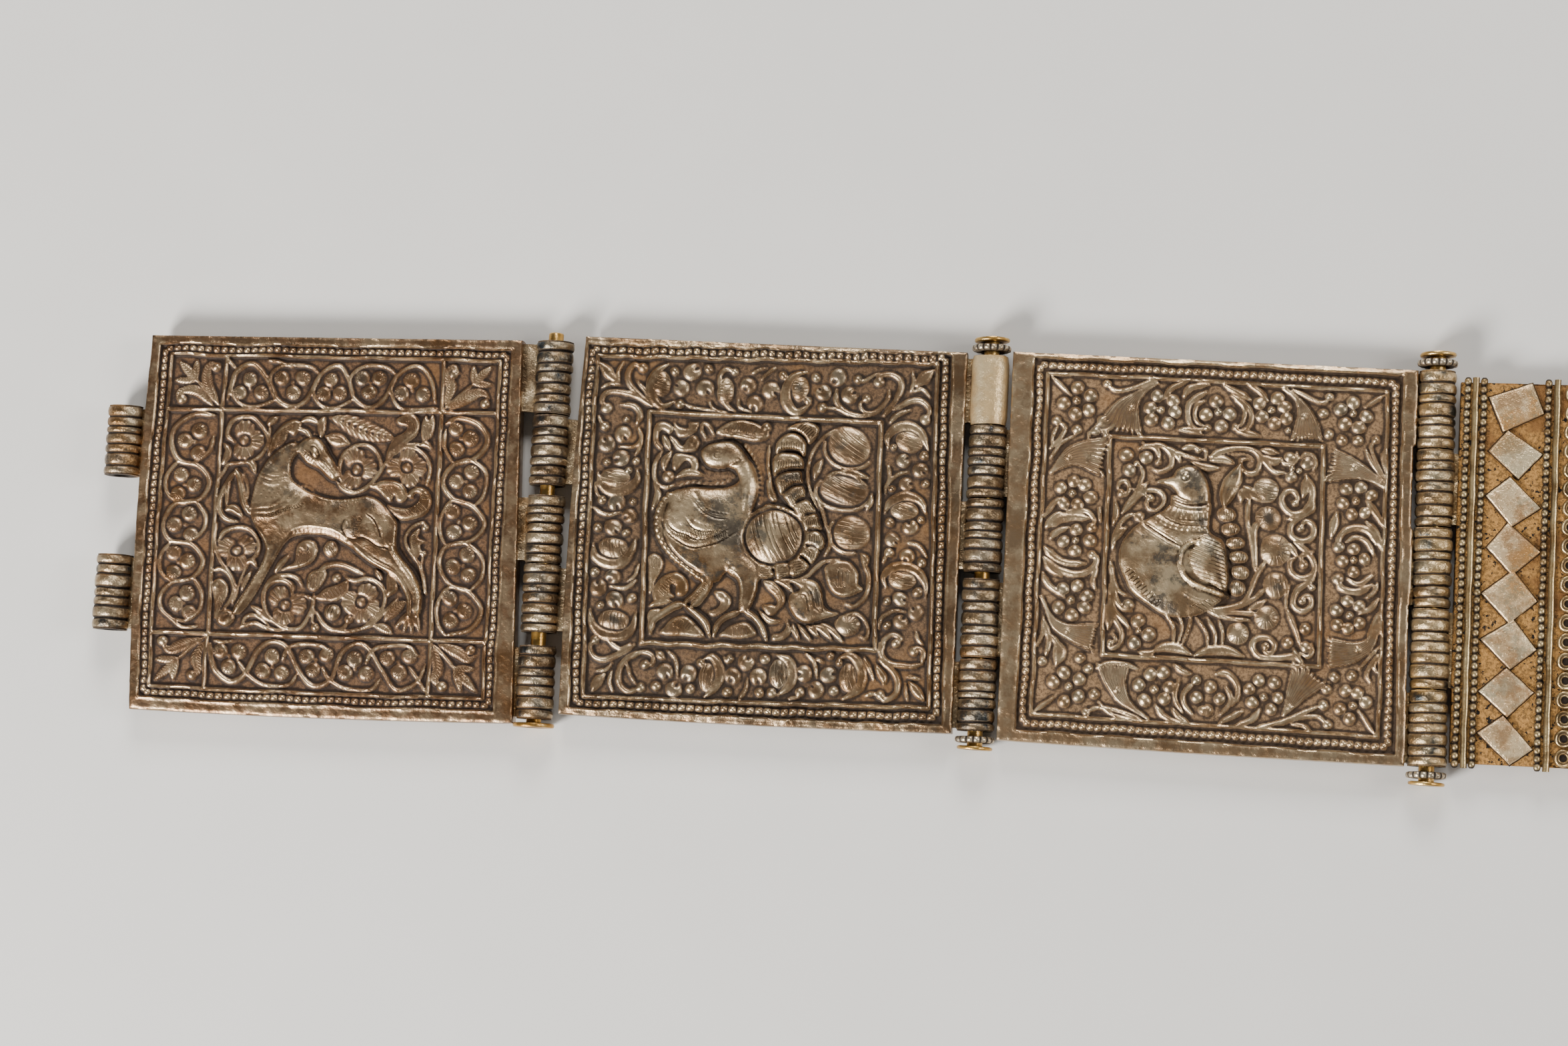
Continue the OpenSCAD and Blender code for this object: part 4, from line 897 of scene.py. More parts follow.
# Curls, leaves and discs of feathers round the peacock
PEACOCK_PANEL = """
a .8 21.6 29.4 19.8 27.4 19.7 23.7 21.2 22.1 23.4 22.2 25.2 23.6 24 25.1 22.4 24.3 21.3 24.9 21.3 27 22.6 28.8
a .8 24.9 22 26.4 23 28.5 23.2 28.7 21.8 31.3 21.7 30.8 24.1 28.6 25.7 26 25.5
m 1 22.3 25.6 23.2 27.4 24.3 29.4
m 1 24.8 29.6 23.3 32.4 23.4 35
v .6 22.4 29.8 20.9 33 20.6 36.2 21.6 38.6 24 39.4 26 38.6
b 1.6 24.5 36.4
a .8 23.8 25.7 26 26.5 27.5 27.9 28.8 26 30.5 25.1 31.9 27 31.2 29.1 28.4 29.7 26 29.1
b 1.2 30.3 27.3
a .8 25.5 30.3 29.4 30.2 31.6 31.5 32 33.8 30.6 34.9 29.5 32.3 28 32.1 26.2 34.7 25.1 33.6
m 1.1 26.2 36.6 29.4 34.9 33.6 35.6
v .5 35.4 24.8 34 22.4 32.5 21.9 32.1 23.6 33.4 25.8
a .9 35.8 23.8 39 21.5 42.4 20.5 46 21.1 49.6 23.3 49.2 25.4 46 26.2 42 25.6 38 25
g .25 36.4 24.1 41 24.1 45.6 24.6 49.2 24.2
t 9 39.4 21.8 47 22 38.8 24 46 24.3
b 1.4 49 22.4
m .9 20.6 38.2 21.8 41.2 20.8 45.4
v .45 67 22 64 24.2 61.6 28 60.5 32.6 60.9 36.6 62.3 40.4 63.8 43.4
v .5 63.4 40 64.9 43.6 66 47.4 66.6 49.4
m 1 64.2 30.2 62.8 32.6 62.3 35.4
v .5 67.3 49.6 67.1 52.4 65.8 55.6
v .6 53.6 62.7 58 62.5 61.5 61.2 63.9 58.9 66.2 57 69.6 56.2
r 6.6 5.9 170 150 71 26.4
d 5.9 5.1 30 35 1.1 70.8 26.2
r 7.2 4.9 150 190 70 38.4
v .45 65.4 34.6 68.6 33.3 72 34 75.8 36.6
d 6.5 4.1 8 22 1.1 70 38
r 5.6 5.4 150 130 72.4 49.3
d 4.8 4.8 0 5 1.1 72.5 49.2
x .8 1 66.2 60 66.6 57.8 69.6 56.4 72.6 57 74.6 59.6 75 62.6 76.2 64 73.6 65.8 70.4 66 67.6 64
d 3.9 4.5 0 84 1 70.6 61
x 1.15 2.4 57.3 68 58 66 60 64.6 58.4 62.6 61.6 61.9 64.2 62.7 65.6 65 66.2 68.4 67.7 69.8 70.2 70.3 67.7 71.8 65 72.9
 61.8 73.2 59.1 72.1 57.7 70.2
g .3 61.4 63.6 63.2 66 64.2 69.4 66 71
g .25 59.8 66.4 61.4 66 62.4 68.6 62.8 71
t 5 62.4 64.4 65.6 64.4 63.6 70 67.4 70.8
a .8 50.4 62.7 53 62.9 55 64.5 56.4 66.6 56.4 68.4 55.2 70 53 71.9 50.9 70.3 51 69.1 53 68.9 54.1 69.2 54.2 67.9 53.4
 66.6 51.6 64.9
k .3 52 63.4 54.6 65.4 55.8 67.8
m .9 53.4 62.7 56.4 63.6 58.4 65.4
m .8 58.4 74 59.2 75.8 60.2 78
m .8 59.8 73.8 61.6 75.6 63.6 77.8
m .8 62.2 73.8 63.8 75 65.4 76.6
m .9 63.6 73.8 66.2 75 68.8 77.8
m .9 65.8 73.5 68.8 75.2 71.8 78
d 3.4 2.9 0 -15 -15 72.6 73.4
v .5 70.6 71.2 74.4 70.6 77 72.3 78 74.9 77.2 76.9 75.7 76.3
v .6 75.4 55.4 76.6 58 77.5 60.4 77.5 63.4 76.9 65.8 75.6 67.6 73.8 68.8 71.6 67.8
m 1 75.2 54.6 76.2 55.6 77.2 57.2
a .7 56.8 72.8 58.3 75.6 57 77.8 54 78.4 53.8 76.8 55.8 76.3 56.8 75
m .8 50 70.8 52.6 73 55.6 73.4
a .8 20.4 58 22 56.8 24.1 58.1 24.4 60.5 23.2 63.6 21.5 67.8 21 64 20.8 61
t 4 21 57.8 23.8 57.8 21.4 60.6 23.6 60.6
a .9 22.8 69.4 22.3 66.4 23.7 63.8 25.8 62.4 28.5 61.9 30.8 63.5 31.4 66.2 30.4 68 28.6 68 28.1 65.6 26.9 65.2 26.9
 67.1 28 68.4 25.5 69.2
t 7 23.4 66.6 26.6 62.8 25.4 67.8 28 64.6
m .9 21.6 71 24 69.7 27.4 69.5
m .8 21.6 75.2 22.4 72.8 24.6 71.4
a .9 25.5 78.2 26.2 75.8 28.2 73.8 31.4 73.3 34.2 75.2 35.8 78.2
t 7 27.8 76.4 33 76.6 29.2 73.8 34 75.6
a .9 38 66.4 40.4 66 42.4 67.6 42.3 69.8 40.4 71.9 38.2 73.1 36.8 71.8 38.7 70.8 39.7 69.2 38.8 68
b 1.3 40.9 67.8
a .9 40.5 78.2 41.4 76.2 43.4 74.4 45.9 73.9 48 75 49 77.6
t 5 43.4 75.2 47 75 43.6 77.4 47.6 77.2
a .5 42.4 39.4 44 37.4 45 40.6 43.6 43
v .4 50 27 50.2 32 51 36.8 52.4 41.2
a .7 50 36 51.4 37.6 52.8 41.2 51.4 41.8 50 39.6
m 1 68 33.2 72 33.4 76 34.4
m .8 76 43 76.8 41 77 38.6
m .8 48.6 44.6 50.4 43.4 52.4 43
"""
# Segments of the tail from its tip, with their strokes
PEACOCK_TAIL = """
x .95 1 54.6 22.2 57 20.6 60.2 20.3 62.6 21.6 62.3 24.2 60.5 26.4 59 24.4 57 23
t 7 56.6 22.4 61 25 58.6 20.6 62.6 22.8
x 1.25 1.4 51.8 29.2 51.7 26.7 53.1 24.5 55.1 23.4 57.5 23.7 59.6 25.7 59.9 28.2 59.2 29.6 57.8 28.2 55.7 27.8 53.5
 28.2
t 9 53 25.8 58.8 25.6 53 28 59 28.2
x 1.25 1.4 51.4 30.2 52.8 28.8 55.1 28.5 57.5 28.9 59.1 30.2 59.3 32.5 57.8 32.7 55.1 33 53.3 33.8 52 35.2 51.3 32.6
t 9 52.4 30.8 58.2 30.4 52.6 33.6 58.4 32.6
x 1.25 1.4 52.2 36.1 53.4 34.5 55.6 33.6 58.5 33.4 59.1 35.2 59.2 36.8 57 37 55.4 38.2 54 40 52.8 38.4
t 9 53.4 36.2 58.6 34.4 54.4 39 59 36.8
x 1.2 1.3 54.3 40 55.8 38.3 57.7 37.4 59.5 37.5 60.2 39.3 59.9 40.4 58.2 41.1 57 43.2 55.2 41.4
t 8 55.2 40.2 59.4 38.2 57 42.8 60.2 40.4
x 1.2 1.2 57 43 59 41.6 61 41.3 62.5 42.7 63.2 44.3 61 44.7 59.4 46.1
t 8 57.8 43.6 62 42 59.4 46 63.2 44.4
x 1.15 1.2 59.4 46.3 61.2 45.1 63.5 44.7 64.4 46.8 64.8 48.7 62.3 48.9 60.6 49.5
t 7 60.4 46.2 64 45.6 60.8 49 64.6 48.4
x 1.15 1.1 60.8 49.9 63.4 49.1 65.2 50.4 65.7 52.6 64.6 54.2 63 53.3 61.1 52.7
t 6 61.6 50.4 65 50 61.6 52.6 65.4 53.2
x 1.15 1.1 60.1 54.4 61.7 53.2 63.5 53.6 64.5 55 62.9 57.9 61.6 57 60 55.6
t 5 60.6 54.8 64.2 55 60.8 56 63 57.6
x 1.1 1.1 56.8 57.9 58 56.7 59.8 56.2 61.7 57.7 62 58.8 59.7 60.8 57.6 61.3
t 5 58 57.4 58.2 61 60.6 56.8 61.4 60
x 1.1 1.1 53.2 58.6 54.4 58.1 56.4 58.1 57.7 60.7 55.4 62.1 53.8 62
t 5 53.8 58.6 54.6 62 56 58.4 57 61.4
x 1.1 1.1 48.4 58.6 50.6 58.4 52.4 59.6 53.3 61.6 50.6 62.4 48.6 61.2
t 4 49.6 58.8 49.6 62 52 59 52.4 62
"""
# Legs, feet and body
PEACOCK_FIGURE = """
y 1.5 1.1 .9 37.4 62.6 35.4 66.4 32.6 70.8
y .9 1 .9 35.8 63.6 33.4 67 30.4 70.4
x 1.2 1.8 40.4 59.8 43 58 49 60 49.2 64.6 48.4 68.4 47 71.4 44.8 71 44.6 66.4 43.6 63 41.4 61.4
y 1.3 .95 .85 31 70 27.7 71 24.5 73 22.8 75 22.3 78.2
y 1 .95 .85 30.8 70.4 33.6 72 36.4 74.6 37.7 78
y 1 .95 .85 45.4 71 41.6 72.5 39.4 75 38.6 78
y 1.05 .95 .85 45.8 71 48.6 72.6 50.8 75 52.2 78.4
x 1.3 4.5 21.5 48 22.2 43.8 25 40.6 30 39 35 38.8 40 38.6 43 36.6 44.6 31 47.2 34 48 40 46.4 46 44.8 50 45.4 56 50.4
 60.4 48.6 63.4 44.6 62 41 61 39 63.6 35.6 64.4 31 61.4 26.8 58.4 23.4 54.4 21.8 51
e 33.6 46.4 12 9.6 20 .45
"""
# Neck and head with its eye
PEACOCK_NECK = """
x 1.5 2.6 32.4 29.8 34 27.6 37 26.5 40.4 26.6 43 28.4 45.4 31.6 46.9 35.4 47.2 40 46.4 44 44.4 46.4 43.2 43 43.2 38
 42.4 35 40.4 33.5 37 34 34 32.8
e 45.6 38 2 8 0 .25
q .22 .25 37.9 30.3 37.5 31 36.8 31.2 36.1 30.7 36.2 29.9 36.9 29.4 37.6 29.6
"""
# Bands of the neck, engraved feathers and folds
PEACOCK_DETAILS = """
g .35 32.4 29.8 33.8 27.2 37 26.2 40.2 26.2 42.8 27.8 45.2 31.2 47 34.6 47.7 38.6 47.4 43 45.8 47
o .55 1.35 43.6 27 46 30 47.6 33.6 48.4 38 48.2 43
h .45 32.5 29.9 32.7 32.2 34.3 33.8 35.9 34.1 37.8 33.8 39.7 33.4 41.6 33.8 30.7 31.5 33.3 27 35.9 25.6 38.6 24.9 40.6
 24.8 43 27 38.9 36.8 35.4 37.4 33.5 37.5 41.3 36.3 26.1 40.5 24.4 41.6
g .2 38 33.2 36.6 33.8 34.6 32.8
k .35 33.4 31.8 34.6 33 36.2 33.6
g .3 39.6 33.2 41 32.4 42.8 31.6
o .55 1.5 27.2 38.6 30.4 37.5 34.4 37.8 39 37.3 42 35.4
g .35 27 39.4 31 38.4 35.4 38.8 40 38.8
o .9 1.7 25.2 40.4 22.9 43.4 21.9 46.8 22 49.6 22.8 52.4 24.4 55.2 26.8 58.1 29.8 60.5 32.7 62.4 35.6 64
g .3 25.4 41.8 24.2 45.4 23.8 49 24.6 53 26.8 56.4 30 59.2 34.4 61.8
k .3 25.6 53.8 27.6 56.2 30.6 58.6 34.2 60.6
g .3 23 48 24.8 51 27.4 53.3 31.9 55 35.1 54.7 38 53.7 41 51.8 44 49.8
g .28 24.4 47 25.6 49.8 27.6 51.2 30.3 51.6 31.8 52.5 34 53.1 36.2 52.6 38.6 51.3 42 49
t 24 26 50.8 40.6 50.4 27 53.4 41.2 52
p .32 .9 31.8 40.6 33.5 42.9 35.1 44.7 37.3 45.6 40.2 46
g .22 31.2 42.6 34.4 45.8 38 47 41 46.9
t 3 37.2 41.6 39.8 42.4 38 42.8 40.6 43
g .22 29.6 47 32 50 36 51 41 48.6
p .25 .9 30.6 46.8 32.4 48.4 35.6 49.4 39.4 48.4
t 12 41.8 60.6 44.8 70 42.8 60.2 45.6 69.8
k .35 41.4 59.6 43.4 61 44.9 63.4 45.3 66.4 44.9 70
t 7 35.6 64.4 31 70 36.6 65 32 70.6
k .3 31 70.2 33.6 71.8 36.2 74.2
"""
# Border of the parrot plaque: rings of berries, curls, and a ribbed fan on each side of every corner
PARROT_BORDER = """
b 1.75 16.5 8.7 13.2 12.8 16 15.3 19.3 14.2 19.7 10.5 36.2 9.7 40.2 10.7 40.8 13.5 39.2 16.6 35.2 15.7 34.7 12.8 51
 10.3 54.2 13.5 52.3 16.7 48.5 13.7 66 8.7 67.7 11 61.8 10.2 62.5 13.5 65.5 15.2 68.3 14 81.5 11 84.4 9.2 87.7 12.5 86
 15.3 82.8 14.5
b 1.6 83.8 31.2 87.2 30.5 89.8 32.5 88.5 37 85.2 37.5 83 35 86 46.5 88.7 48.7 83.3 49.6 86 52.2 85 59.7 87.8 60.9 82.5
 62.2 82.7 65.7 85.2 66.6 88 65.2 85.3 82.2 88.2 82.7 90.2 85 86.5 89.3 84.3 87 68 81.3 69 85 67.2 88 62.5 86.7 61.8
 83.3 64.2 81 52.3 83.3 54.7 86 51.8 89.2 49 86.2
b 1.7 37.5 81.2 40.5 80.6 42.2 84 41.2 86.8 36.3 87.7 34.8 84 16 82 19.8 83.5 19.8 87.8 16.3 89.3 13.3 84.6 14.8 60.8
 18.3 59.7 20.8 62.3 20.3 65.2 17.4 67.2 14.1 65.4 17.4 45.2 21.1 47.8 14.5 48.4 17.5 50.8 13.3 34.8 16.5 32.9 19.3
 33.6 20.8 36.7 17.7 38.8 14.3 38.8
b 1 16.3 12 37.3 13.2 51.5 13 64.7 11.8 84.5 11.9 86.2 34.1 86 49.2 85.5 63.3 87.3 86 65.3 85.2 38.7 84.8 17.2 85.4 17
 63.4 17.5 48 16.4 36 15 26.7 30 13.2 72.8 13.3 85.2 25.7 87.8 71.7 72 87.3 29.2 85.5 16.3 71.3 23.8 20.3
b 1.3 22.8 16.8 21.3 19.6 16.7 19.3 77.3 12 79 17.6 82.3 18.7 86 18.6 82.3 79 86.7 78.3 80.5 82.3 80 86.4 22 80.7 23.7
 87 20 78 10.2 79.5 48.7 81.9 50.7 89.3
v .55 10 5.8 15 10.8
v .55 92.2 6.6 87.4 10.2
v .55 93 92.6 88.6 87.2
v .55 9 92.2 14.4 87.8
c .6 1.1 35.7 5.5 30 8.2 26 8.8 23.7 7
c .6 1.2 10 24.6 12.8 21.6 13.7 19 11.6 17.4
v .4 10.2 27 13 23 16.4 20.6
v .4 10.4 23.4 11 20.6 12 18.6
f 9 10 31 13.4 25.4 17 22.7 22.4 21.2 10.3 31.4 13.6 29.4 17 28.7 22.4 30.8
f 9 36 5.8 30.4 9.2 26.4 11.8 23.6 15 37 6 33 9.4 31.8 13 32.8 18.6
f 9 66.4 6 69.8 9 71 12.6 69.8 18.4 69 6.6 73 9.8 75.7 13.4 77.4 18.5
f 9 93 29 89.4 26 85 23 80.6 20.9 93 31 89.7 29.2 85.7 28.5 80.6 29.2
f 9 92.8 63 90.3 68.3 86.7 70 81.4 69.2 93 67 90.7 72.3 86.3 75.4 81.2 76.8
f 9 70 90 70.6 87 71.2 83 71.6 79 70.2 90 72.6 88 76 84.8 80.4 81.4
f 9 37.4 92.6 30 89 26.6 85 24.4 80.6 38 92.4 33 88.4 31.4 84 32 79.8
f 9 9.6 62 12.2 67 16.4 69.4 23.2 69 10 65 12.6 70.6 17 73.8 22 76
v .6 24 80.6 27 79.2 31 79 34.4 80
v .8 38 10.3 40 7.4 44 5.8
v .9 43 9.4 44.7 7.2 49 6.1
v .9 59.3 9.4 55.7 7.6 52.6 6
v .8 63.7 9.4 61.3 7 58.6 5.8
c .8 1 48.3 8 44.7 10.7 44 13.4 44.8 16.2 46.8 17.8 49 17.2
v .6 48 10.2 46.2 11.4 45.8 13.6 46.6 15.8 48.4 16.8
c .8 1 54.7 8.6 58.7 11.2 60 13.7 59 16.6 56.8 17.8 55.8 16.8
v .6 55.6 10 57.6 11.2 58.2 13.4 57.4 15.8 56 16.8
m 1 42 18 45 18 48 19
m 1 56.4 17.8 59 18.2 62 18.9
c .6 1.1 69.4 6.4 74.6 8.6 77.4 9.2 78.8 7.6
v .5 88 21 90 25 92.8 29
c .5 1.1 93 29 90.7 24 89.3 20.4 90.3 18.4
v .5 92.8 20.4 92.2 23.4 93.2 27.4
v .9 88.8 33.8 91 37 93.3 41
v .9 89 39.4 91.3 42.4 93.2 46.6
m 1.1 81.4 37.4 80.7 41 80.4 44
c 1 1.5 91.4 44.8 89.7 41.9 86.7 40.9 83.8 41.8 82.3 44 82.4 46
v .7 91 47.4 89 44.4 86.4 43.4 84 44.8
c 1 1.5 90.6 55.2 87 57.2 83.4 56.6 82.2 54.2
v .7 90.8 52.6 87.4 55.2 84.4 54
v .7 92 54.8 91 57.2 89.4 58.6
v .8 92.4 58.8 90.7 61.3 87.8 63
v .5 93 62 91 66.4 89.8 70
v .5 92.8 70.6 91 73 88.4 76.6
v .6 92.6 72.6 90.4 77.6 91.3 80.3
v .6 93 73 92 75.6 92.7 77.4
v .6 63.3 93.2 69 91.4 75 88.6 78.8 86.8
c .6 1.2 68.8 92 74 90 78.6 89.2 81.2 91
v .6 72.4 91.6 75.4 91.8 77.8 93.4
v .8 53.7 80 56.4 79.8 58.7 82.3 59 85.2 57.8 87.6
v .7 56 83 57.4 85.6 56.8 88 55.2 90.2
v .8 60.3 89 57.8 90.6 55 92.4
v .8 64.3 88.4 62.4 91.2 58.4 93
v .8 43.3 78.6 45 79.8 47.2 80.3
v .7 44.3 82 43.6 85 44 87.4 45.8 90.4
v .7 48.2 82.4 45.8 85.4 46.2 88.4 48.2 90.8
v .8 39 88.8 41.4 91.4 45.8 93.3
v .8 43.3 89.4 45 91.6 47.6 93.1
c .6 1.1 36 92.7 29 90.6 24.6 90.2 22 91.6
v .5 35 93.2 28 91.6 24.6 88.6
v .8 10.7 69 12 74 11.2 78
v .8 12.6 72.6 15.4 77
m 1.7 13.6 74 14.8 77 14 80.4
v .6 10.2 68 10.4 72 9 75.6
v .8 9.4 42.4 11.7 38.9 14.3 37.2
v .7 10 44.2 12 42 13.4 41
v 1.3 10.2 44.8 13.3 42.6 17 41.8 20.6 42.2
c .7 1.3 15 40.6 19.6 40.3 22 42.4 21.4 44.4
v .9 11.3 47.6 13 45.8 15.4 44.6
v .5 23.2 39.4 23.6 42.8
v 1 9.8 50 12.3 52.6 15.7 54.1 20 53.9
c 1 1.1 9.7 52.7 13 55.6 17 56.8 20.6 56 22.8 54 22.9 52 21.8 51.4
v 1 10 53.6 12 56 14.2 57.5
v .7 23.3 55 22.2 58 22.8 60.4
v .8 9.7 56.8 11.4 60 15.4 62.8
"""
# Curls, leaves, berries and legs round the parrot
PARROT_PANEL = """
b 1.8 29.3 25.3 30.2 29.3 34.2 25.7 33.8 67.8 36.7 71 33.2 73.4 73.8 25.2
b 1.5 69.5 23.8 70.2 28.8 74.8 67.5 70.8 71.2 75.2 72 33.1 41.1 31.2 63.8
b .8 32 27.5 37.3 26.8 70.3 26.7 72 27.2 69 17 34.2 70.2
v .5 33 28 33.8 30.4 32.3 34.3 30.3 37.3 28.7 40.4
v .8 32.3 23.4 34.6 22.8 36.6 23.6 37.6 26
v .7 34.4 22.4 38 22.6 40.2 24.6 40.3 27.6 38 29.2 36 28.7
v .6 36 22.2 40 23.4 45 25.2 49 25.8
m .9 39 22.6 41.4 24.4 42.4 26.6
m .9 43 23 45 22.4 47 22.6
c .4 .9 49 25.4 48.9 23.2 47 23.2
m 1 45 26.3 48.3 27.4 52.3 27.4
v .7 50 24.8 52.7 23.2 56.7 22.2 60.7 22.8 62.4 25.2 61.6 28 59.4 28.6 57.7 27.2 57.6 25.4 59.4 24.9
o .4 .9 50.4 24.9 54 23.9 58.6 23.8 60.9 25.4
m 1 50 25.7 53.3 25.2 56 26.3
v .7 59.7 22.2 62.4 23.8 64 25.8 66 27.6 68.7 27.8
m 1 62.3 22.4 64.4 22.6 66.8 22.9
m 1.2 63.4 23.8 65.4 25 67.8 24.2
v .45 70.9 22.4 71.3 24 70.2 25.6 68.2 25.4 67.4 23.8
v .5 71.8 24.2 73 23 75 23.2 76 25 75.4 26.8
c .8 .9 73.8 28.4 75.2 31.7 75.1 34.8 73.3 37.4 70.7 38.2 68.7 36.8 68 34.4 69.2 32.6 71 32.5 71.8 34.2 71.2 35.3
m 1.1 73.9 28.6 73.7 31.4 72.9 33.8
v .5 69.7 39.6 72.3 39
c .8 1 75.8 35 75.2 37 72.4 39.2 70.6 41.4 71 44 73.6 45.2 76 43.8 76 41.2 74.2 40 73 41.8
v .8 71.6 45.6 74.4 47.6 76.6 50.6 76.4 53 73.8 54.4 71 53.2 70.4 50.6 72 49.2
c .7 1.2 76 47.6 73.2 49 73.9 50.8
m .9 70.4 45.8 71.2 47.6 72.2 49.2
c .8 1.1 77 51.8 75.7 55 73 57.2 71.7 60 72 62 74 63 76 61.4 75.8 59.2 74.2 59.2 73.9 60.2
b .9 76.3 56.6
v .5 70.7 56.3 70 59.6 70 62.4
v .7 70.3 63 71.7 66.3 73 69 74 72
c .8 1.1 73.7 74 69 75 64 74.9 62.1 72.6 63.2 70.6 66 70.2 67.6 72 66.8 73.8 65.2 73.6 65.4 72.2
v .5 76.6 71 76.8 73 75.4 74.2 73.6 73.2
c .6 1.1 27.3 34.4 27.7 32.8 29.3 32.3 30.3 34 29.4 35.8 28.3 35.4
c .6 1.1 28.7 40.4 32.3 36 35.3 34 38.2 34.6 39.1 36.8 37.6 39 35.4 38.9 34.6 37 35.4 36
m .7 35 32 33.6 33.6 32.2 35.2
m .8 27 37.4 27.4 40.4 26.6 43.6
v .6 26.8 49.6 27 46 28.6 42.6 30.4 40.8 32.6 40.3
m 1 27 47.6 28.2 45.2 30 43.8
v .6 26.6 53 27.2 57 28.4 60 30.4 61.2
v .8 26.8 57 28 62 30 64.6 32 65.2
v .8 26.4 59 27.4 64 29.6 67 31.8 69.6
v .7 26.2 62 28 67 29.8 70.6 29.6 73.6 27.6 75.2 26.2 74.6
m 1.3 26.2 63.4 26.9 67 26.5 70.2
c .5 1 27.6 71.4 28.4 73 27 73.8
m 1 34.2 75.6 36.6 76 38.2 75
v .4 40 65 42.4 68.6 42.8 74
v .4 43.6 65 44.6 69 43.8 74
v .4 46.8 65 46.3 69 44.8 74
m 1.4 37.4 75.4 40.6 74.2 44.4 74.4 47.4 75.6
v .4 48 66 50.8 69.8 51.3 74.2
v .4 51 66 52.8 69.8 52.9 74.2
v .4 53.8 66.4 54.6 69.6 54.5 74
m 1.4 48 75.8 51.6 74.2 56 74.2 60 75.2
v .5 60 34.4 59.7 38.3 60.7 45.7 62.2 53.2
v .8 63 40.4 61.4 43.4 61.8 49 62.6 53.4
v .6 64.8 50.4 62.6 54.6 60.4 60 57.6 62.4 50.6 64
v .65 64.8 57.4 62 60.4 58 62.8 50.6 64.3
v .7 63.4 64.3 58 64.2 51 64.6
v .6 61 66 58 66 52 65
m 1.3 58.3 31.8 60.2 33.2 62.6 35.4
m 1.2 59.6 35 58.4 33.4 58 35.8
m 1 65 60.6 62.4 62.4 60.6 63.2
"""
# Pointed feather of the tail, body, head with its eye, beads of the neck, and the raised line round the wing
PARROT_FIGURE = """
z 2.5 1.2 .1 57.4 26.4 56.2 29.8 55 33 54 37.6
x 1.3 6 50.4 36 50.4 43.6 54 46 55.4 50 55.4 59 52.4 63 48 65.6 41 66 35.4 63.2 31 59 28.6 53 29.2 47.4 32.6 43.2 37
 40.4 40.4 37.8 41.6 35
e 40 53 12 11 30 .35
e 33.6 59.4 3 6 -40 .2
x 1.5 2.4 37.2 31.6 40.6 30.4 42 28.4 45 27.3 48 28.6 49.9 32 50.3 36.6 46 37.2 43 35.8 41 33.4 38.8 32.4
q .28 .35 36.8 31.3 40.6 32
e 44 30.4 1.2 1.2 0 .3
q .2 .2 42.8 30.4 44 29.2 45.3 30.4 44 31.7 42.9 30.6
i 1.25 1.35 .34 2.4 39.4 38.4 42.4 39.8 46.4 40.1 50.4 40
i 1.4 .7 .34 2 37 40.4 40.6 42.6 44.8 43.6 50.4 43.6
y .85 2.05 .99 48 46.8 45.4 48 43.7 50.2 43.4 52.8 44.8 55.6 48 57.9 52 59.4 55.6 60.4
"""
# Cuts of the breast, small discs behind the wing, and engraved folds
PARROT_DETAILS = """
t 12 29.6 55.4 37.6 64.4 31.4 54.6 39 62.6
d 3.5 3.4 0 8 .9 63.9 32.6
d 3.2 3.2 0 -150 -13 64.8 39.8
d 4.1 4.1 0 20 -17 66.9 47.8
d 3.2 3.4 0 80 1.3 67.3 56.8
d 3.1 3.2 0 60 -14 65.4 65
d 3 3 0 60 -12 58.4 69.6
k .3 33.8 43.2 36.8 45.4 40 47.2 43.6 49
k .22 34.4 42 38 44.2 41 46 43.8 47.6
g .22 34 42.6 38 45 43.6 48.3
k .35 41.6 35.7 45 36.9 50.3 36.4
k .35 40.8 36.9 45 38.1 50.4 37.8
k .35 38.2 39.6 42.6 41.7 46.4 42.2 50.3 42.1
g .25 41 36.3 45 37.5 50.4 37.1
t 5 53 60.4 47 63 56 62.4 50 65
k .3 44.6 59.6 48.4 61.6 53.6 62.6
k .3 30.2 58.2 33.6 61.4 38 64.4
g .25 43 66.6 44.4 68.4 44.2 71
"""


def face_marks(relief):
    """Small dents of two sizes over the whole face, and the marks for the finish: lift follows the height, hollow
    is how far a point lies below the mean of what is round it, and the mark of wear and sheen how far above. The
    finish puts dirt and painted shade in hollows, and wear and a painted highlight on what stands above."""
    relief.high = mean_round(relief.high, 1)
    for reach, depth in ((0.9, 0.024), (0.35, 0.012)):
        dents = mean_round(relief.chance.normal(size=relief.high.shape), max(round(reach / relief.step), 1))
        relief.high += depth * dents / dents.std()
    broad = mean_round(relief.high, max(round(1.2 / relief.step), 1))
    fine = mean_round(relief.high, max(round(0.45 / relief.step), 1))
    below = 0.22 * (broad - relief.high) + 1.0 * (fine - relief.high)
    return {
        "lift": np.clip(relief.high / 0.7, 0, 3),
        "hollow": np.clip(below / 0.2, 0, 1),
        "wear_and_sheen": np.clip(-below / 0.2, 0, 1),
        "tarnish": np.clip(relief.tarnish, 0, 1),
        "phase": relief.phase,
        "cut": relief.cut,
    }


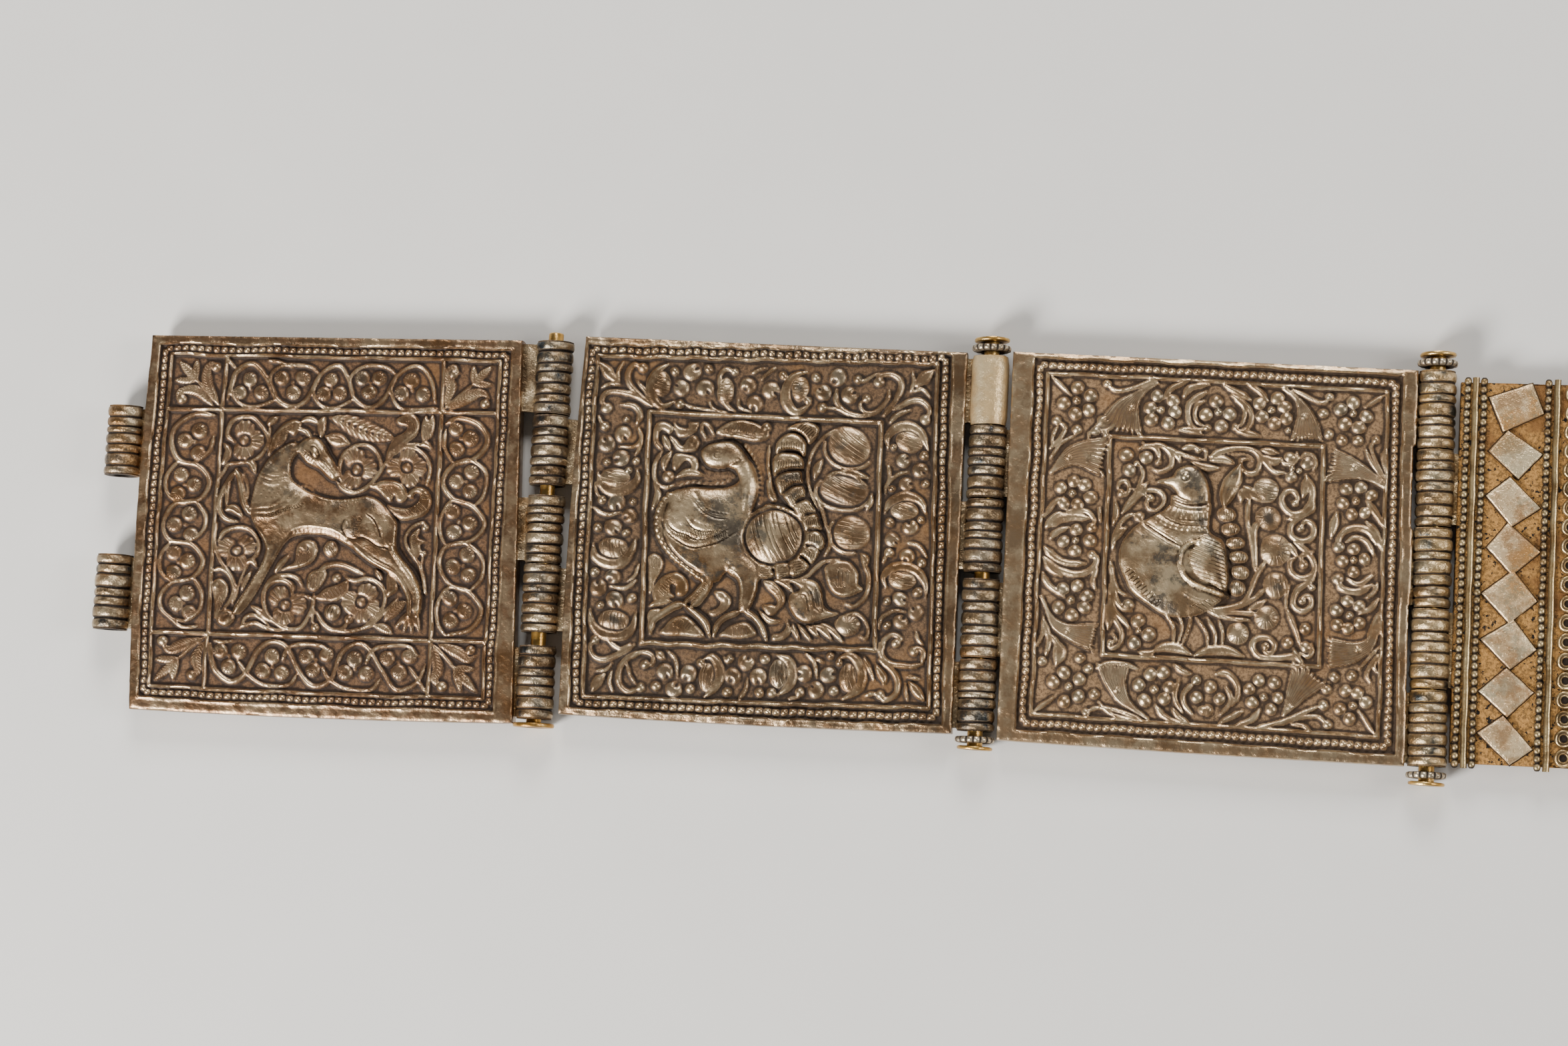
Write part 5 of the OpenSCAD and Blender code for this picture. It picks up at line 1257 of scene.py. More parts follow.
def plaque(name, body, node, relief, left, cuts, ground, bulge=(0.0, 0.0)):
    """Closed plate under a relief, whose ground lies at the given height. Its corners are the hinge axes less the
    cuts, a face point is the mean of the corners weighted by u and v, and the left and bottom edge bulge a little.
    Beside a neighbour's knuckles the side edge keeps clear of them. Three rings of points below the rim make the
    rounded wall, and the back is a flat fan."""
    marks = {k: field[::2, ::2] for k, field in face_marks(relief).items()}
    face_u, face_v, high = (field[::2, ::2] for field in (relief.u, relief.v, relief.high))
    n = len(high)
    ends = [(axes[left + a], b * half_height) for a, b in ((0, 1), (1, 1), (1, -1), (0, -1))]
    corner = np.array(ends) + cuts * np.array([(1, 1), (-1, 1), (-1, 1), (1, 1)])
    u, v = face_u[..., None] / 100, face_v[..., None] / 100
    place = (1 - v) * ((1 - u) * corner[0] + u * corner[1]) + v * ((1 - u) * corner[3] + u * corner[2])
    x = place[..., 0] - bulge[0] * (1 - u[..., 0]) ** 6 * np.sin(np.pi * v[..., 0])
    y = place[..., 1] - bulge[1] * v[..., 0] ** 8 * np.sin(np.pi * (0.15 + 0.7 * u[..., 0]))
    room = 4.05  # mm from a hinge axis
    for hinge, side, column, first in ((left, 1, 0, 0), (left + 1, -1, -1, 1)):
        near, edge_x, edge_y = np.zeros(n), x[:, column], y[:, column]
        for top, bottom in knuckle_rows[hinge][first::2]:
            inside = soft_step(edge_y, bottom - 0.75, bottom - 0.35) * soft_step(edge_y, top + 0.75, top + 0.35)
            near = np.maximum(near, inside)
        push = near * np.maximum(room - side * (edge_x - axes[hinge]), 0)
        share = 1 - np.abs(face_u[0] - face_u[0, column]) / 5
        x = x + side * push[:, None] * np.clip(share, 0, 1)
    rough = 0.03 * np.sin(0.37 * face_u + 1.3) * np.sin(0.29 * face_v)
    edge = np.minimum(np.minimum(face_u, 100 - face_u), np.minimum(face_v, 100 - face_v))
    z = ground + high + rough - 0.22 * np.exp(-edge / 0.35)
    grid = np.arange(n * n).reshape(n, n)
    loop = np.concatenate([grid[:, 0], grid[-1, 1:], grid[-2::-1, -1], grid[0, -2:0:-1]])
    face = np.stack([x, y, z], -1).reshape(-1, 3)
    rim = face[loop]
    middle = rim.mean(0)
    away = rim[:, :2] - middle[:2]
    away = away / np.abs(away).max(1, keepdims=True)
    wobble = mean_round(relief.chance.normal(size=(1, len(loop))), 9)[0] * 0.25
    rings = []
    for out, height in ((0.1, ground - 0.1), (0.1, back_z + 0.5), (-0.25, back_z)):
        ring = rim.copy()
        ring[:, :2] += away * out * (1 + wobble[:, None])
        ring[:, 2] = height
        rings.append(ring)
    points = np.vstack([face, *rings, [[middle[0], middle[1], back_z]]])
    top = np.stack([grid[:-1, :-1], grid[1:, :-1], grid[1:, 1:], grid[:-1, 1:]], -1).reshape(-1, 4)
    bands = [loop, *(n * n + k * len(loop) + np.arange(len(loop)) for k in range(3))]
    walls = [np.stack([a, b, np.roll(b, -1), np.roll(a, -1)], 1) for a, b in zip(bands[:-1], bands[1:])]
    last = bands[-1]
    fan = np.stack([np.full(len(last), len(points) - 1), np.roll(last, -1), last], 1)
    plain = {"lift": 0.85, "hollow": 0.1, "wear_and_sheen": 0.2, "tarnish": 0.3, "phase": 0.0, "cut": 0.0}
    marks = {k: np.concatenate([m.ravel(), m.ravel()[loop], np.full(2 * len(loop) + 1, plain[k])])
             for k, m in marks.items()}
    made = mesh_piece(name, points, [top, *walls, fan], 50, marks)
    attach(made, body)
    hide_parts(node)
    return made


def antelope_relief(size):
    """The plaque with the antelope that looks back over its shoulder."""
    face = Relief(size, 11)
    face.edging([(2.3, 1.9), (97.8, 2.2), (95.4, 97.3), (2, 97.2)], [(5.8, 4.9), (94.6, 5.4), (92.4, 94.2), (5, 94)],
                (0.55, 0.95), (2.1, 0.8, 0.8, 3.5, 0.3), (0.5, 0.85))
    face.chase(ANTELOPE_BORDER + ANTELOPE_CORNERS + ANTELOPE_PANEL + ANTELOPE_FIGURE + ANTELOPE_DETAILS)
    return face


def peacock_relief(size):
    """The plaque with the peacock, whose wing is a ringed disc with engraved strokes."""
    face = Relief(size, 22)
    face.edging([(0.6, 1.8), (96.6, 0.4), (98, 98.4), (2.4, 98.6)], [(3.6, 4.9), (92.6, 3.2), (94.2, 93.8), (6, 95.2)],
                (0.55, 0.95), (2.2, 0.85, 0.82, 3.5, 0.3), (0.6, 0.9))
    face.ridge([(18.3, 19.4), (78.6, 19.6), (79.8, 79.6), (20.2, 80.7)], 0.75, 0.88)
    face.chase(PEACOCK_BORDER + PEACOCK_CORNERS + PEACOCK_PANEL + PEACOCK_TAIL + PEACOCK_FIGURE)
    face.rim(52.6, 51.2, 8.4, 8.1, 0.5, 0.9)
    face.disc(52.6, 51.2, 7.7, 7.4, 0, 66, 1.15, 1.55)
    face.chase(PEACOCK_NECK + PEACOCK_DETAILS)
    return face


def parrot_relief(size):
    """The plaque with the parrot on its two legs."""
    face = Relief(size, 33)
    face.edging([(5.1, 0.8), (96.8, 1), (98.2, 97.8), (4.2, 97.4)], [(9, 5), (92.9, 5.6), (93.6, 93.2), (8.2, 92.9)],
                (0.5, 0.92), (2.0, 0.88, 0.86), (0.5, 0.82), (0.28, 0.3, 1.0))
    face.ridge([(25, 20.6), (77.6, 20.7), (78.6, 76.6), (25.2, 77)], 0.6, 0.82)
    face.chase(PARROT_BORDER + PARROT_PANEL)
    # Tail of round segments. Columns: u, v, half width, half height
    for u, v, across, along in ((54.6, 39.3, 2.4, 2.1), (55.6, 43, 2.4, 1.9), (57, 46.6, 2.5, 1.75),
                                (58, 50.2, 2.4, 1.75), (58.5, 53.9, 2.5, 1.85), (57.8, 57.9, 2.4, 2.2)):
        face.disc(u, v, across, along, 0, 90, 0.62, 1.2)
    face.chase(PARROT_FIGURE)
    # Wing: a high round dome with slanting cuts, and the ball that ends the raised line round its left
    face.body([50, 44.9, 53, 46, 54.8, 49, 55.3, 53, 55.1, 59, 51.4, 58.2, 47.4, 56.2, 45, 53.2, 44.8, 50.4, 46, 48,
               47.6, 46], 2.1, 5.0, 17.0, 0.95)
    face.berry(48, 47.2, 1.0, 2.1)
    face.chase(PARROT_DETAILS)
    return face


def old_silver():
    """Finish of old cast silver, as a node group. The ground colour turns to the metal's where the relief lifts,
    to the bright one on high relief and on crests, which is wear with a painted highlight, and to the dirt's in its
    hollows, which is dirt with painted shade. Blue-grey tarnish lies on some forms, and brown gilding is left in
    patches. Engraved lines follow the cosine of their phase and are as deep as their cut."""
    group = bpy.data.node_groups.new("old_silver", "ShaderNodeTree")
    for label in ("Ground", "Metal", "Bright", "Dirt_and_shade", "Blue", "Residue"):
        group.interface.new_socket(label, in_out="INPUT", socket_type="NodeSocketColor")
    for label in ("Tarnish", "Patches"):
        group.interface.new_socket(label, in_out="INPUT", socket_type="NodeSocketFloat")
    group.interface.new_socket("Color", in_out="OUTPUT", socket_type="NodeSocketColor")
    for label in ("Roughness", "Metallic", "Height"):
        group.interface.new_socket(label, in_out="OUTPUT", socket_type="NodeSocketFloat")
    noise, blend, step, reckon = (partial(made, group) for made in (speckle, tint, fade, figure))
    times = partial(reckon, "MULTIPLY")
    given = group.nodes.new("NodeGroupInput").outputs
    result = group.nodes.new("NodeGroupOutput").inputs
    mark = {k: add(group, "ShaderNodeAttribute", {}, attribute_name=k).outputs["Fac"]
            for k in ("lift", "hollow", "wear_and_sheen", "tarnish", "phase", "cut")}
    # Ground and metal, each mottled, and the metal only where the relief lifts
    blotch, cloud, pit = noise(60.0), noise(260.0, 6.0), noise(1800.0, 3.0, 0.7)
    patch = noise(140.0, 5.0, 0.7)
    ragged = reckon("MULTIPLY_ADD", reckon("SUBTRACT", cloud, 0.5), 0.7, mark["lift"])
    lifted = step(ragged, 0.25, 0.8)
    dent = noise(850.0, 4.0, 0.65)
    ground = blend(step(pit, 0.38, 0.66, 0.0, 0.65), given["Ground"], given["Dirt_and_shade"])
    metal = blend(step(cloud, 0.42, 0.6, 0.0, 0.4), given["Metal"], given["Bright"])
    metal = blend(step(patch, 0.54, 0.4, 0.0, 0.75), metal, given["Ground"])
    spots = times(step(dent, 0.43, 0.37, 0.0, 1.4), given["Patches"])
    ground = blend(spots, ground, given["Dirt_and_shade"])
    colour = blend(lifted, ground, metal)
    # High relief lightened by rubbing and a painted highlight, gilding left in patches, tarnish, and shine on crests
    # that is wear with a painted highlight
    rub_and_highlight = times(step(mark["lift"], 1.3, 2.8), step(patch, 0.42, 0.6, 0.1, 1.0))
    colour = blend(rub_and_highlight, colour, given["Bright"])
    patches = times(step(blotch, 0.54, 0.66), given["Patches"])
    colour = blend(patches, colour, given["Residue"])
    blue = times(mark["tarnish"], step(cloud, 0.38, 0.62))
    stain = step(noise(120.0, 6.0, 0.75), 0.51, 0.6)
    stain = times(stain, step(mark["lift"], 0.9, 1.4))
    blue = times(reckon("MAXIMUM", blue, stain), given["Tarnish"])
    blue = times(blue, lifted)
    colour = blend(blue, colour, given["Blue"])
    shine = times(step(mark["wear_and_sheen"], 0.3, 1.1), step(cloud, 0.35, 0.65, 0.05, 0.55))
    colour = blend(shine, colour, given["Bright"])
    # Dirt in engraved lines, and dirt with painted shade in hollows
    lines = step(reckon("COSINE", mark["phase"]), 0.2, 0.95)
    lines = times(lines, mark["cut"])
    dark = step(mark["hollow"], 0.06, 0.7, 0.0, 0.93)
    dark = reckon("MAXIMUM", dark, times(lines, 0.7))
    colour = blend(dark, colour, given["Dirt_and_shade"])
    group.links.new(colour, result["Color"])
    # How rough and how metallic, and the height for the bump
    uneven = reckon("MULTIPLY_ADD", pit, -0.3, reckon("SUBTRACT", ragged, dark))
    group.links.new(step(uneven, -0.4, 0.8, 0.66, 0.33), result["Roughness"])
    group.links.new(step(uneven, -0.3, 0.8, 0.45, 0.9), result["Metallic"])
    rough = times(pit, step(lifted, 0.0, 1.0, 0.8, 0.35))
    rough = reckon("MULTIPLY_ADD", dent, 1.1, rough)
    fine = reckon("MULTIPLY_ADD", lines, -1.0, rough)
    group.links.new(fine, result["Height"])
    return group


def silver_material(name, group, colours, tarnish, patches, depth=0.00012, metallic=None):
    """Silver of one piece: the shared finish with this piece's own colours. Thick grime makes it less metallic."""
    made, tree, shader = new_material(name)
    finish = add(tree, "ShaderNodeGroup", {}, node_tree=group)
    for label, colour in zip(("Ground", "Metal", "Bright", "Dirt_and_shade", "Blue", "Residue"), colours):
        finish.inputs[label].default_value = paint(*colour)
    finish.inputs["Tarnish"].default_value = tarnish
    finish.inputs["Patches"].default_value = patches
    bump = add(tree, "ShaderNodeBump", {"Height": finish.outputs["Height"], "Distance": depth, "Strength": 0.8})
    for given, taken in (("Color", "Base Color"), ("Roughness", "Roughness")):
        tree.links.new(finish.outputs[given], shader.inputs[taken])
    if metallic is None:
        tree.links.new(finish.outputs["Metallic"], shader.inputs["Metallic"])
    else:
        shader.inputs["Metallic"].default_value = metallic
    tree.links.new(bump.outputs["Normal"], shader.inputs["Normal"])
    return made


finish = old_silver()
# Colours: ground, metal, bright edges of wear and painted highlight, dirt with painted shade, blue tarnish, gilding
# left in patches
brown_silver = silver_material("brown_silver", finish, (
    (110, 81, 55), (144, 114, 86), (222, 197, 158), (36, 23, 14), (84, 86, 82), (142, 98, 52)), 0.5, 0.28)
grey_silver = silver_material("grey_silver", finish, (
    (110, 85, 60), (150, 123, 94), (230, 207, 168), (34, 23, 14), (78, 86, 86), (152, 108, 58)), 0.65, 0.3)
pale_silver = silver_material("pale_silver", finish, (
    (146, 117, 85), (170, 141, 108), (238, 216, 176), (44, 30, 18), (72, 78, 80), (136, 94, 50)), 0.7, 0.35)

even_cuts = [(4.4, 0)] * 4
# Points along a side of the face, of which every second one is kept
fine, coarse = 609, 241
# Columns: body, relief, hinge on its left, cuts at its corners, bulge of its left and bottom edge, silver, points
for body, relief, left, cuts, bulge, silver, size in (
    ("antelope_left", antelope_relief, 0, ((4.7, -1), (6.2, 0), (3.8, -0.7), (5.3, -1.3)), (0.9, 0.8),
     brown_silver, fine),
    ("peacock_left", peacock_relief, 1, ((6.0, 1.1), (4.4, 0.1), (4.2, 1), (4.9, 1.3)), (0.6, 0.6), grey_silver, fine),
    ("parrot_left", parrot_relief, 2, ((4.1, 0.5), (3.5, -0.8), (4, -1.2), (4.1, 0.1)), (0, 0.3), pale_silver, fine),
    ("parrot_right", parrot_relief, 4, even_cuts, (0, 0), pale_silver, coarse),
    ("peacock_right", peacock_relief, 5, even_cuts, (0, 0), grey_silver, coarse),
    ("antelope_right", antelope_relief, 6, even_cuts, (0, 0), brown_silver, coarse),
):
    made = plaque("chased_" + body, body, "plaque_" + body, relief(size), left, cuts, ground_z, bulge)
    made.data.materials.append(silver)

# ---------------------------------------------------------------------------------------------
# Wide middle link of gilt silver. On each end of its plate a column of lozenges and a column of rings
# lie between rows of beaded and plain wire, all soldered down. The ground is pitted and blackened.
# ---------------------------------------------------------------------------------------------


def skins(*columns, loop=False):
    """Closed skins from the x, y, z and marks of points, which lie in rings, and the rings in one or more shapes.
    Quads join each ring to the next. Two fans close the ends, or the last ring is joined to the first in a loop.
    Where the volume comes out negative, the order of the rings' points is turned."""
    rings = np.stack(np.broadcast_arrays(*columns), -1)
    rings = rings.reshape(-1, *rings.shape[-3:])
    arm = rings[..., :3] - rings[..., :3].mean((1, 2), keepdims=True)
    low, up = (arm, np.roll(arm, -1, 1)) if loop else (arm[:, :-1], arm[:, 1:])
    low_next, up_next = np.roll(low, -1, 2), np.roll(up, -1, 2)
    volume = (low * (np.cross(low_next, up_next) + np.cross(up_next, up))).sum((1, 2, 3))
    rings = np.where(volume[:, None, None, None] < 0, rings[:, :, ::-1], rings)
    count, m, k, width = rings.shape
    grid = np.arange(m * k).reshape(m, k)
    grid = np.vstack([grid, grid[:1]]) if loop else grid
    turned = np.roll(grid, -1, 1)
    quads = np.stack([grid[:-1], turned[:-1], turned[1:], grid[1:]], -1).reshape(-1, 4)
    points = rings.reshape(count, -1, width)
    if loop:
        shift = (np.arange(count) * m * k)[:, None, None]
        return points.reshape(-1, width), [(quads + shift).reshape(-1, 4)]
    shift = (np.arange(count) * (m * k + 2))[:, None, None]
    points = np.concatenate([points, rings[:, [0, -1]].mean(2)], 1)
    first = np.stack([np.full(k, m * k), turned[0], grid[0]], 1)
    last = np.stack([np.full(k, m * k + 1), grid[-1], turned[-1]], 1)
    ends = (np.vstack([first, last]) + shift).reshape(-1, 3)
    return points.reshape(-1, width), [(quads + shift).reshape(-1, 4), ends]


def forged(name, body, parts, material, sharp=50, node=None):
    """One object from several skins, whose marks are lift, hollow, wear and sheen, and tarnish."""
    rows, faces, start = [], [], 0
    for points, blocks in parts:
        rows.append(points)
        faces += [block + start for block in blocks]
        start += len(points)
    rows = np.vstack(rows)
    marks = dict(zip(("lift", "hollow", "wear_and_sheen", "tarnish"), rows[:, 3:].T))
    made = mesh_piece(name, rows[:, :3], faces, sharp, marks)
    made.data.materials.append(material)
    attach(made, body)
    if node:
        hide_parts(node)
    return made


center_ground = 4.6
center_cuts = [(4.3, -2.6), (4.3, -2.6), (3.8, -0.4), (3.8, -0.4)]
wire_top, wire_bottom = half_height - 1.7, -half_height - 1.3

center_face = Relief(281, 44)
center_face.high += 0.12 * mean_round(center_face.chance.normal(size=center_face.high.shape), 2)
gilt_ground = silver_material("gilt_ground", finish, (
    (178, 132, 70), (190, 146, 84), (222, 182, 116), (14, 9, 5), (110, 100, 80), (120, 82, 40)), 0.4, 0.9, 0.0003)
center = plaque("gilt_plate", "center", "center_plate", center_face, 3, center_cuts, center_ground)
center.data.materials.append(gilt_ground)


def band_x(side, offset, share):
    """Place across the plate of a band that lies offset in from its side edge, at a share of the way down."""
    return side * (axes[4] - center_cuts[0][0] + 0.5 * share - offset)


def laid_wire(side, offset, radius, pitch=0.0):
    """Wire soldered along the plate. A beaded wire's radius follows the root of a sine's size along it."""
    beads = round((wire_top - wire_bottom) / pitch) if pitch else 0
    share = np.linspace(0, 1, 8 * beads + 1 if beads else 60)
    swell = np.abs(np.sin(np.pi * share * beads)) ** 0.6 if beads else np.ones_like(share)
    jitter = 0.04 * np.sin(37 * share + offset) + 0.03 * np.sin(91 * share + 2 * offset)
    width = radius * (0.5 + 0.5 * swell if beads else 0.95 + 0.05 * np.sin(60 * share + offset))
    angle = 2 * np.pi * np.arange(12) / 12
    x = band_x(side, offset, share)[:, None] + jitter[:, None] + width[:, None] * np.cos(angle)
    y = wire_top + share[:, None] * (wire_bottom - wire_top)
    z = center_ground + 0.45 * radius + width[:, None] * np.sin(angle)
    # The upper side takes the metal colour and its top wear and a painted highlight, and the underside and the gaps
    # between beads take painted shade, with dirt in the gaps
    upper = 0.5 + 0.5 * np.sin(angle)
    lift = swell[:, None] * soft_step(upper, 0.2, 0.7)
    hollow = np.clip(1.2 - swell[:, None] + 0.8 * (1 - upper), 0, 1)
    wear_and_sheen = swell[:, None] * soft_step(upper, 0.7, 1)
    return skins(x, y, z, lift, hollow, wear_and_sheen, 0)


# How far in from the side edge each row lies
beaded_at, plain_at, lozenges_at, rings_at = (1.0, 3.9, 15.1, 23.8), (2.45, 16.7, 22.4), 9.6, 19.6
wires = []
for side in (-1, 1):
    wires += [laid_wire(side, offset, 0.64, 1.45) for offset in beaded_at]
    wires += [laid_wire(side, offset, 0.62) for offset in plain_at]
gilt_wire = silver_material("gilt_wire", finish, (
    (104, 78, 46), (184, 152, 104), (244, 222, 172), (26, 17, 9), (90, 92, 88), (150, 106, 54)), 0.5, 0.4)
forged("center_wires", "center", wires, gilt_wire)

# Lozenges, cut by hand, no two alike. Columns: x and y of the left, top, right and bottom corner from the middle
lozenge_corners = np.array([
    (-4.7, 1.6, 2.6, 4.1, 4.7, -0.9, -2.2, -4.1),
    (-4.5, 0.5, -1.3, 4.0, 4.7, 0.2, 0.7, -4.0),
    (-4.7, 0.9, -0.7, 4.1, 4.6, -0.9, -0.2, -4.1),
    (-4.3, 0.2, -0.8, 4.3, 4.9, -0.3, 0.1, -4.3),
    (-4.9, 0.4, 0.4, 4.4, 4.6, -0.6, -0.1, -4.4),
    (-4.8, 0.7, 0.7, 4.1, 4.7, -0.7, 0.3, -4.1),
    (-4.8, 0.0, -0.2, 4.0, 4.5, 0.1, 0.1, -4.1),
    (-4.8, 1.0, -0.5, 4.0, 4.6, -1.3, 0.8, -4.0),
]).reshape(8, 4, 2)
# Rings of the sheet from its foot up to near the middle: size and height. The first two are solder
scale = np.array([1.07, 1.06, 1, 1, 0.965, 0.9, 0.6, 0.25])[:, None]
height = np.array([-0.4, 0.06, 0.16, 0.5, 0.66, 0.72, 0.74, 0.73])[:, None]
# The foot rings take dirt and painted shade, and the bevel under the top wear and a painted highlight
lift, hollow, wear_and_sheen = 2.2 * (height > 0.3), 1.0 * (height < 0.3), 0.9 * ((height > 0.45) & (height < 0.7))
share = (np.arange(8) + 0.5) / 8
steps = np.linspace(0, 1, 8, endpoint=False)[:, None]
chance = np.random.default_rng(7)
for side, part in ((-1, "left"), (1, "right")):
    middle = np.stack([band_x(side, lozenges_at, share), wire_top - 1 - share * (wire_top - wire_bottom - 2)], 1)
    corners = lozenge_corners if side < 0 else -lozenge_corners[::-1]
    outline = corners[:, :, None] + steps * (np.roll(corners, -1, 1) - corners)[:, :, None]
    outline = outline.reshape(8, 32, 2) * (1.02, 1.08) * (1 + 0.006 * chance.normal(size=(8, 32, 1)))
    flat = middle[:, None, None] + outline[:, None] * scale[..., None]
    tarnish = chance.uniform(0, 1, 8)[:, None, None]
    lozenges = skins(flat[..., 0], flat[..., 1], center_ground + height, lift, hollow, wear_and_sheen, tarnish)
    pale_sheet = silver_material("pale_sheet_" + part, finish, (
        (158, 118, 78), (212, 172, 126), (252, 230, 186), (44, 32, 20), (156, 158, 136), (200, 146, 82)), 0.5, 0.9,
        0.00028, 0.7)
    forged("lozenges_" + part, "center", [lozenges], pale_sheet, 40)

# Rings. Columns of the section: distance from the middle, height, lift, hollow, wear and sheen. The foot, the groove
# and the middle take dirt and painted shade, and the crest wear and a painted highlight
ring_section = np.array([
    (1.66, -0.4, 0.2, 1.0, 0.0), (1.68, 0.3, 0.8, 0.5, 0.0), (1.6, 0.68, 1.0, 0.0, 0.6), (1.4, 0.8, 1.0, 0.0, 1.0),
    (1.2, 0.72, 1.0, 0.0, 0.6), (1.08, 0.5, 0.6, 0.6, 0.0), (0.98, 0.46, 0.6, 0.5, 0.0), (0.84, 0.52, 0.9, 0.0, 0.7),
    (0.7, 0.42, 0.6, 0.3, 0.0), (0.6, 0.12, 0.1, 1.0, 0.0), (0.3, 0.08, 0.0, 1.0, 0.0),
])
ring_share = (np.arange(20) + 0.5) / 20
angle = 2 * np.pi * np.arange(24) / 24
parts = []
for side in (-1, 1):
    squeeze = 1 + 0.03 * chance.normal(size=(20, 1, 1))
    radius = ring_section[None, :, 0, None] * squeeze
    x = band_x(side, rings_at, ring_share)[:, None, None] + radius * np.cos(angle)
    y = (wire_top - 0.8 - ring_share * (wire_top - wire_bottom - 1.6))[:, None, None] + radius * np.sin(angle)
    height, *marks = ring_section.T[1:, :, None]
    parts.append(skins(x, y, center_ground + height, *marks, 0))
forged("center_rings", "center", parts, gilt_wire)

# ---------------------------------------------------------------------------------------------
# Knuckles of the hinges: short tubes with seven turned bands, soldered to the edge of their link by
# a bar of solder. Each link has two on its left edge and three on its right edge.
# ---------------------------------------------------------------------------------------------
knuckle_radius, bore_radius = 3.56, 1.55


def knuckle(hinge, k, bands):
    """Tube round a hinge axis. Along it the radius dips at each groove. No two bands are of one width, the grooves
    wander a little on their way round, and flat spots make every band uneven."""
    top, bottom = knuckle_rows[hinge][k]
    count = 26
    within = np.append(np.tile([0.0, 0.1, 0.21, 0.5, 0.79, 0.9], bands), 1.0)
    groove = np.append(np.tile([1.0, 0.75, 0.22, 0.0, 0.22, 0.75], bands), 1.0)
    band = np.append(np.repeat(np.arange(bands), 6), bands - 1)
    if bands == 1:
        within, groove, band = np.linspace(0, 1, 9), np.zeros(9), np.zeros(9, int)
    groove[[0, -1]] = 0.55
    ends = np.linspace(0, 1, bands + 1)
    ends[1:-1] += chance.uniform(-0.2, 0.2, bands - 1) / bands
    share = ends[band] + within * np.diff(ends)[band]
    angle = 2 * np.pi * np.arange(count) / count

    def uneven(rows, reach):
        around = np.tile(chance.normal(size=(rows, count)), 3)
        return mean_round(around, reach, 1)[:, count:2 * count]

    groove_depth, flat_depth = 0.36, 0.17
    wander = 0.22 * uneven(bands + 1, 2)
    wander[[0, -1]] *= 0.3
    facet = (uneven(bands, 1) + 0.5 * chance.normal(size=(bands, 1)))[band]
    radius = knuckle_radius - groove_depth * groove[:, None] * (1 + 0.25 * facet)
    radius = radius - flat_depth * np.clip(facet + 0.4, 0, 1.2)
    y = top + share[:, None] * (bottom - top)
    y = y + wander[band] * (1 - within[:, None]) + wander[band + 1] * within[:, None]
    inner = np.full((2, count), bore_radius)
    radius = np.vstack([radius, inner])
    y = np.vstack([y, np.full((1, count), bottom), np.full((1, count), top)])
    # The grooves and the bore take dirt and painted shade, and the band crests wear and a painted highlight
    lift = np.append(1 - groove, [0, 0])[:, None]
    hollow = np.append(0.85 * groove ** 3, [1, 1])[:, None]
    wear_and_sheen = np.vstack([(1 - groove[:, None]) * np.clip(0.5 - 0.9 * facet, 0, 1), 0 * inner])
    dark = np.vstack([(0.5 + 1.6 * uneven(bands, 1))[band], 0 * inner])
    x = axes[hinge] + radius * np.sin(angle)
    z = axis_z + radius * np.cos(angle)
    return skins(x, y, z, lift, hollow, wear_and_sheen, np.clip(dark, 0, 1), loop=True)


def oblong(count, power):
    """Rounded oblong: the cosine and the sine on the way round, each raised to a power below 1 with its sign kept."""
    angle = 2 * np.pi * np.arange(count) / count
    return (np.sign(part) * np.abs(part) ** power for part in (np.cos(angle), np.sin(angle)))


def web(hinge, k, side):
    """Lumpy bar of solder from the wall of a knuckle into the edge of its link. Its section is an oblong."""
    top, bottom = knuckle_rows[hinge][k]
    y = np.linspace(bottom + 0.45, top - 0.45, 16)[:, None]
    across, up = oblong(16, 0.35)
    lump = mean_round(chance.normal(size=(16, 16)), 1, 1)
    x = axes[hinge] + side * (5.5 + 2.5 * across)
    z = 3.2 + (1.05 + 0.3 * lump) * up
    y = y + 0.15 * mean_round(chance.normal(size=(16, 16)), 1, 1)
    return skins(x, y, z, 0.75 + 0.4 * lump, 0.1, 0.4 + lump, 0)


grey_knuckle = silver_material("grey_knuckle", finish, (
    (86, 66, 46), (142, 120, 90), (242, 220, 182), (16, 10, 6), (46, 54, 60), (150, 108, 58)), 1.0, 0.5, 0.0003)
tan_knuckle = silver_material("tan_knuckle", finish, (
    (134, 106, 70), (190, 162, 120), (236, 214, 172), (28, 19, 11), (60, 64, 64), (178, 142, 82)), 1.0, 0.8, 0.0003)
plain_knuckle = silver_material("plain_knuckle", finish, (
    (186, 152, 108), (212, 182, 134), (236, 216, 174), (70, 52, 34), (160, 144, 112), (200, 160, 100)), 0.4, 0.6,
    0.0002, 0.6)

links = ("antelope_left", "peacock_left", "parrot_left", "center", "parrot_right", "peacock_right", "antelope_right")
for place, body in enumerate(links):
    for hinge, side, own in ((place, 1, (1, 3)), (place + 1, -1, (0, 2, 4))):
        silver = tan_knuckle if hinge in (3, 4) else grey_knuckle
        end = "west" if side > 0 else "east"
        plain = [k for k in own if (hinge, k) == (2, 0)]
        forged(f"knuckles_{body}_{end}", body, [knuckle(hinge, k, 7) for k in own if k not in plain], silver)
        if plain:
            forged("knuckle_plain", body, [knuckle(hinge, k, 1) for k in plain], plain_knuckle)
        forged(f"webs_{body}_{end}", body, [web(hinge, k, side) for k in own], silver)

# ---------------------------------------------------------------------------------------------
# Pins of the hinges, brass rods, each riding on the link to the left of its hinge. The two end hinges
# have a flat washer at the foot and the rod bare at the top. The inner ones and the closing pin are
# headed by a thin disc at each end.
# ---------------------------------------------------------------------------------------------
rod_radius = 1.4
washer_radius, washer_thick = 3.85, 0.85
head_radius, head_thick, head_lean = 3.25, 0.7, 0.03
closing_top = 38.85


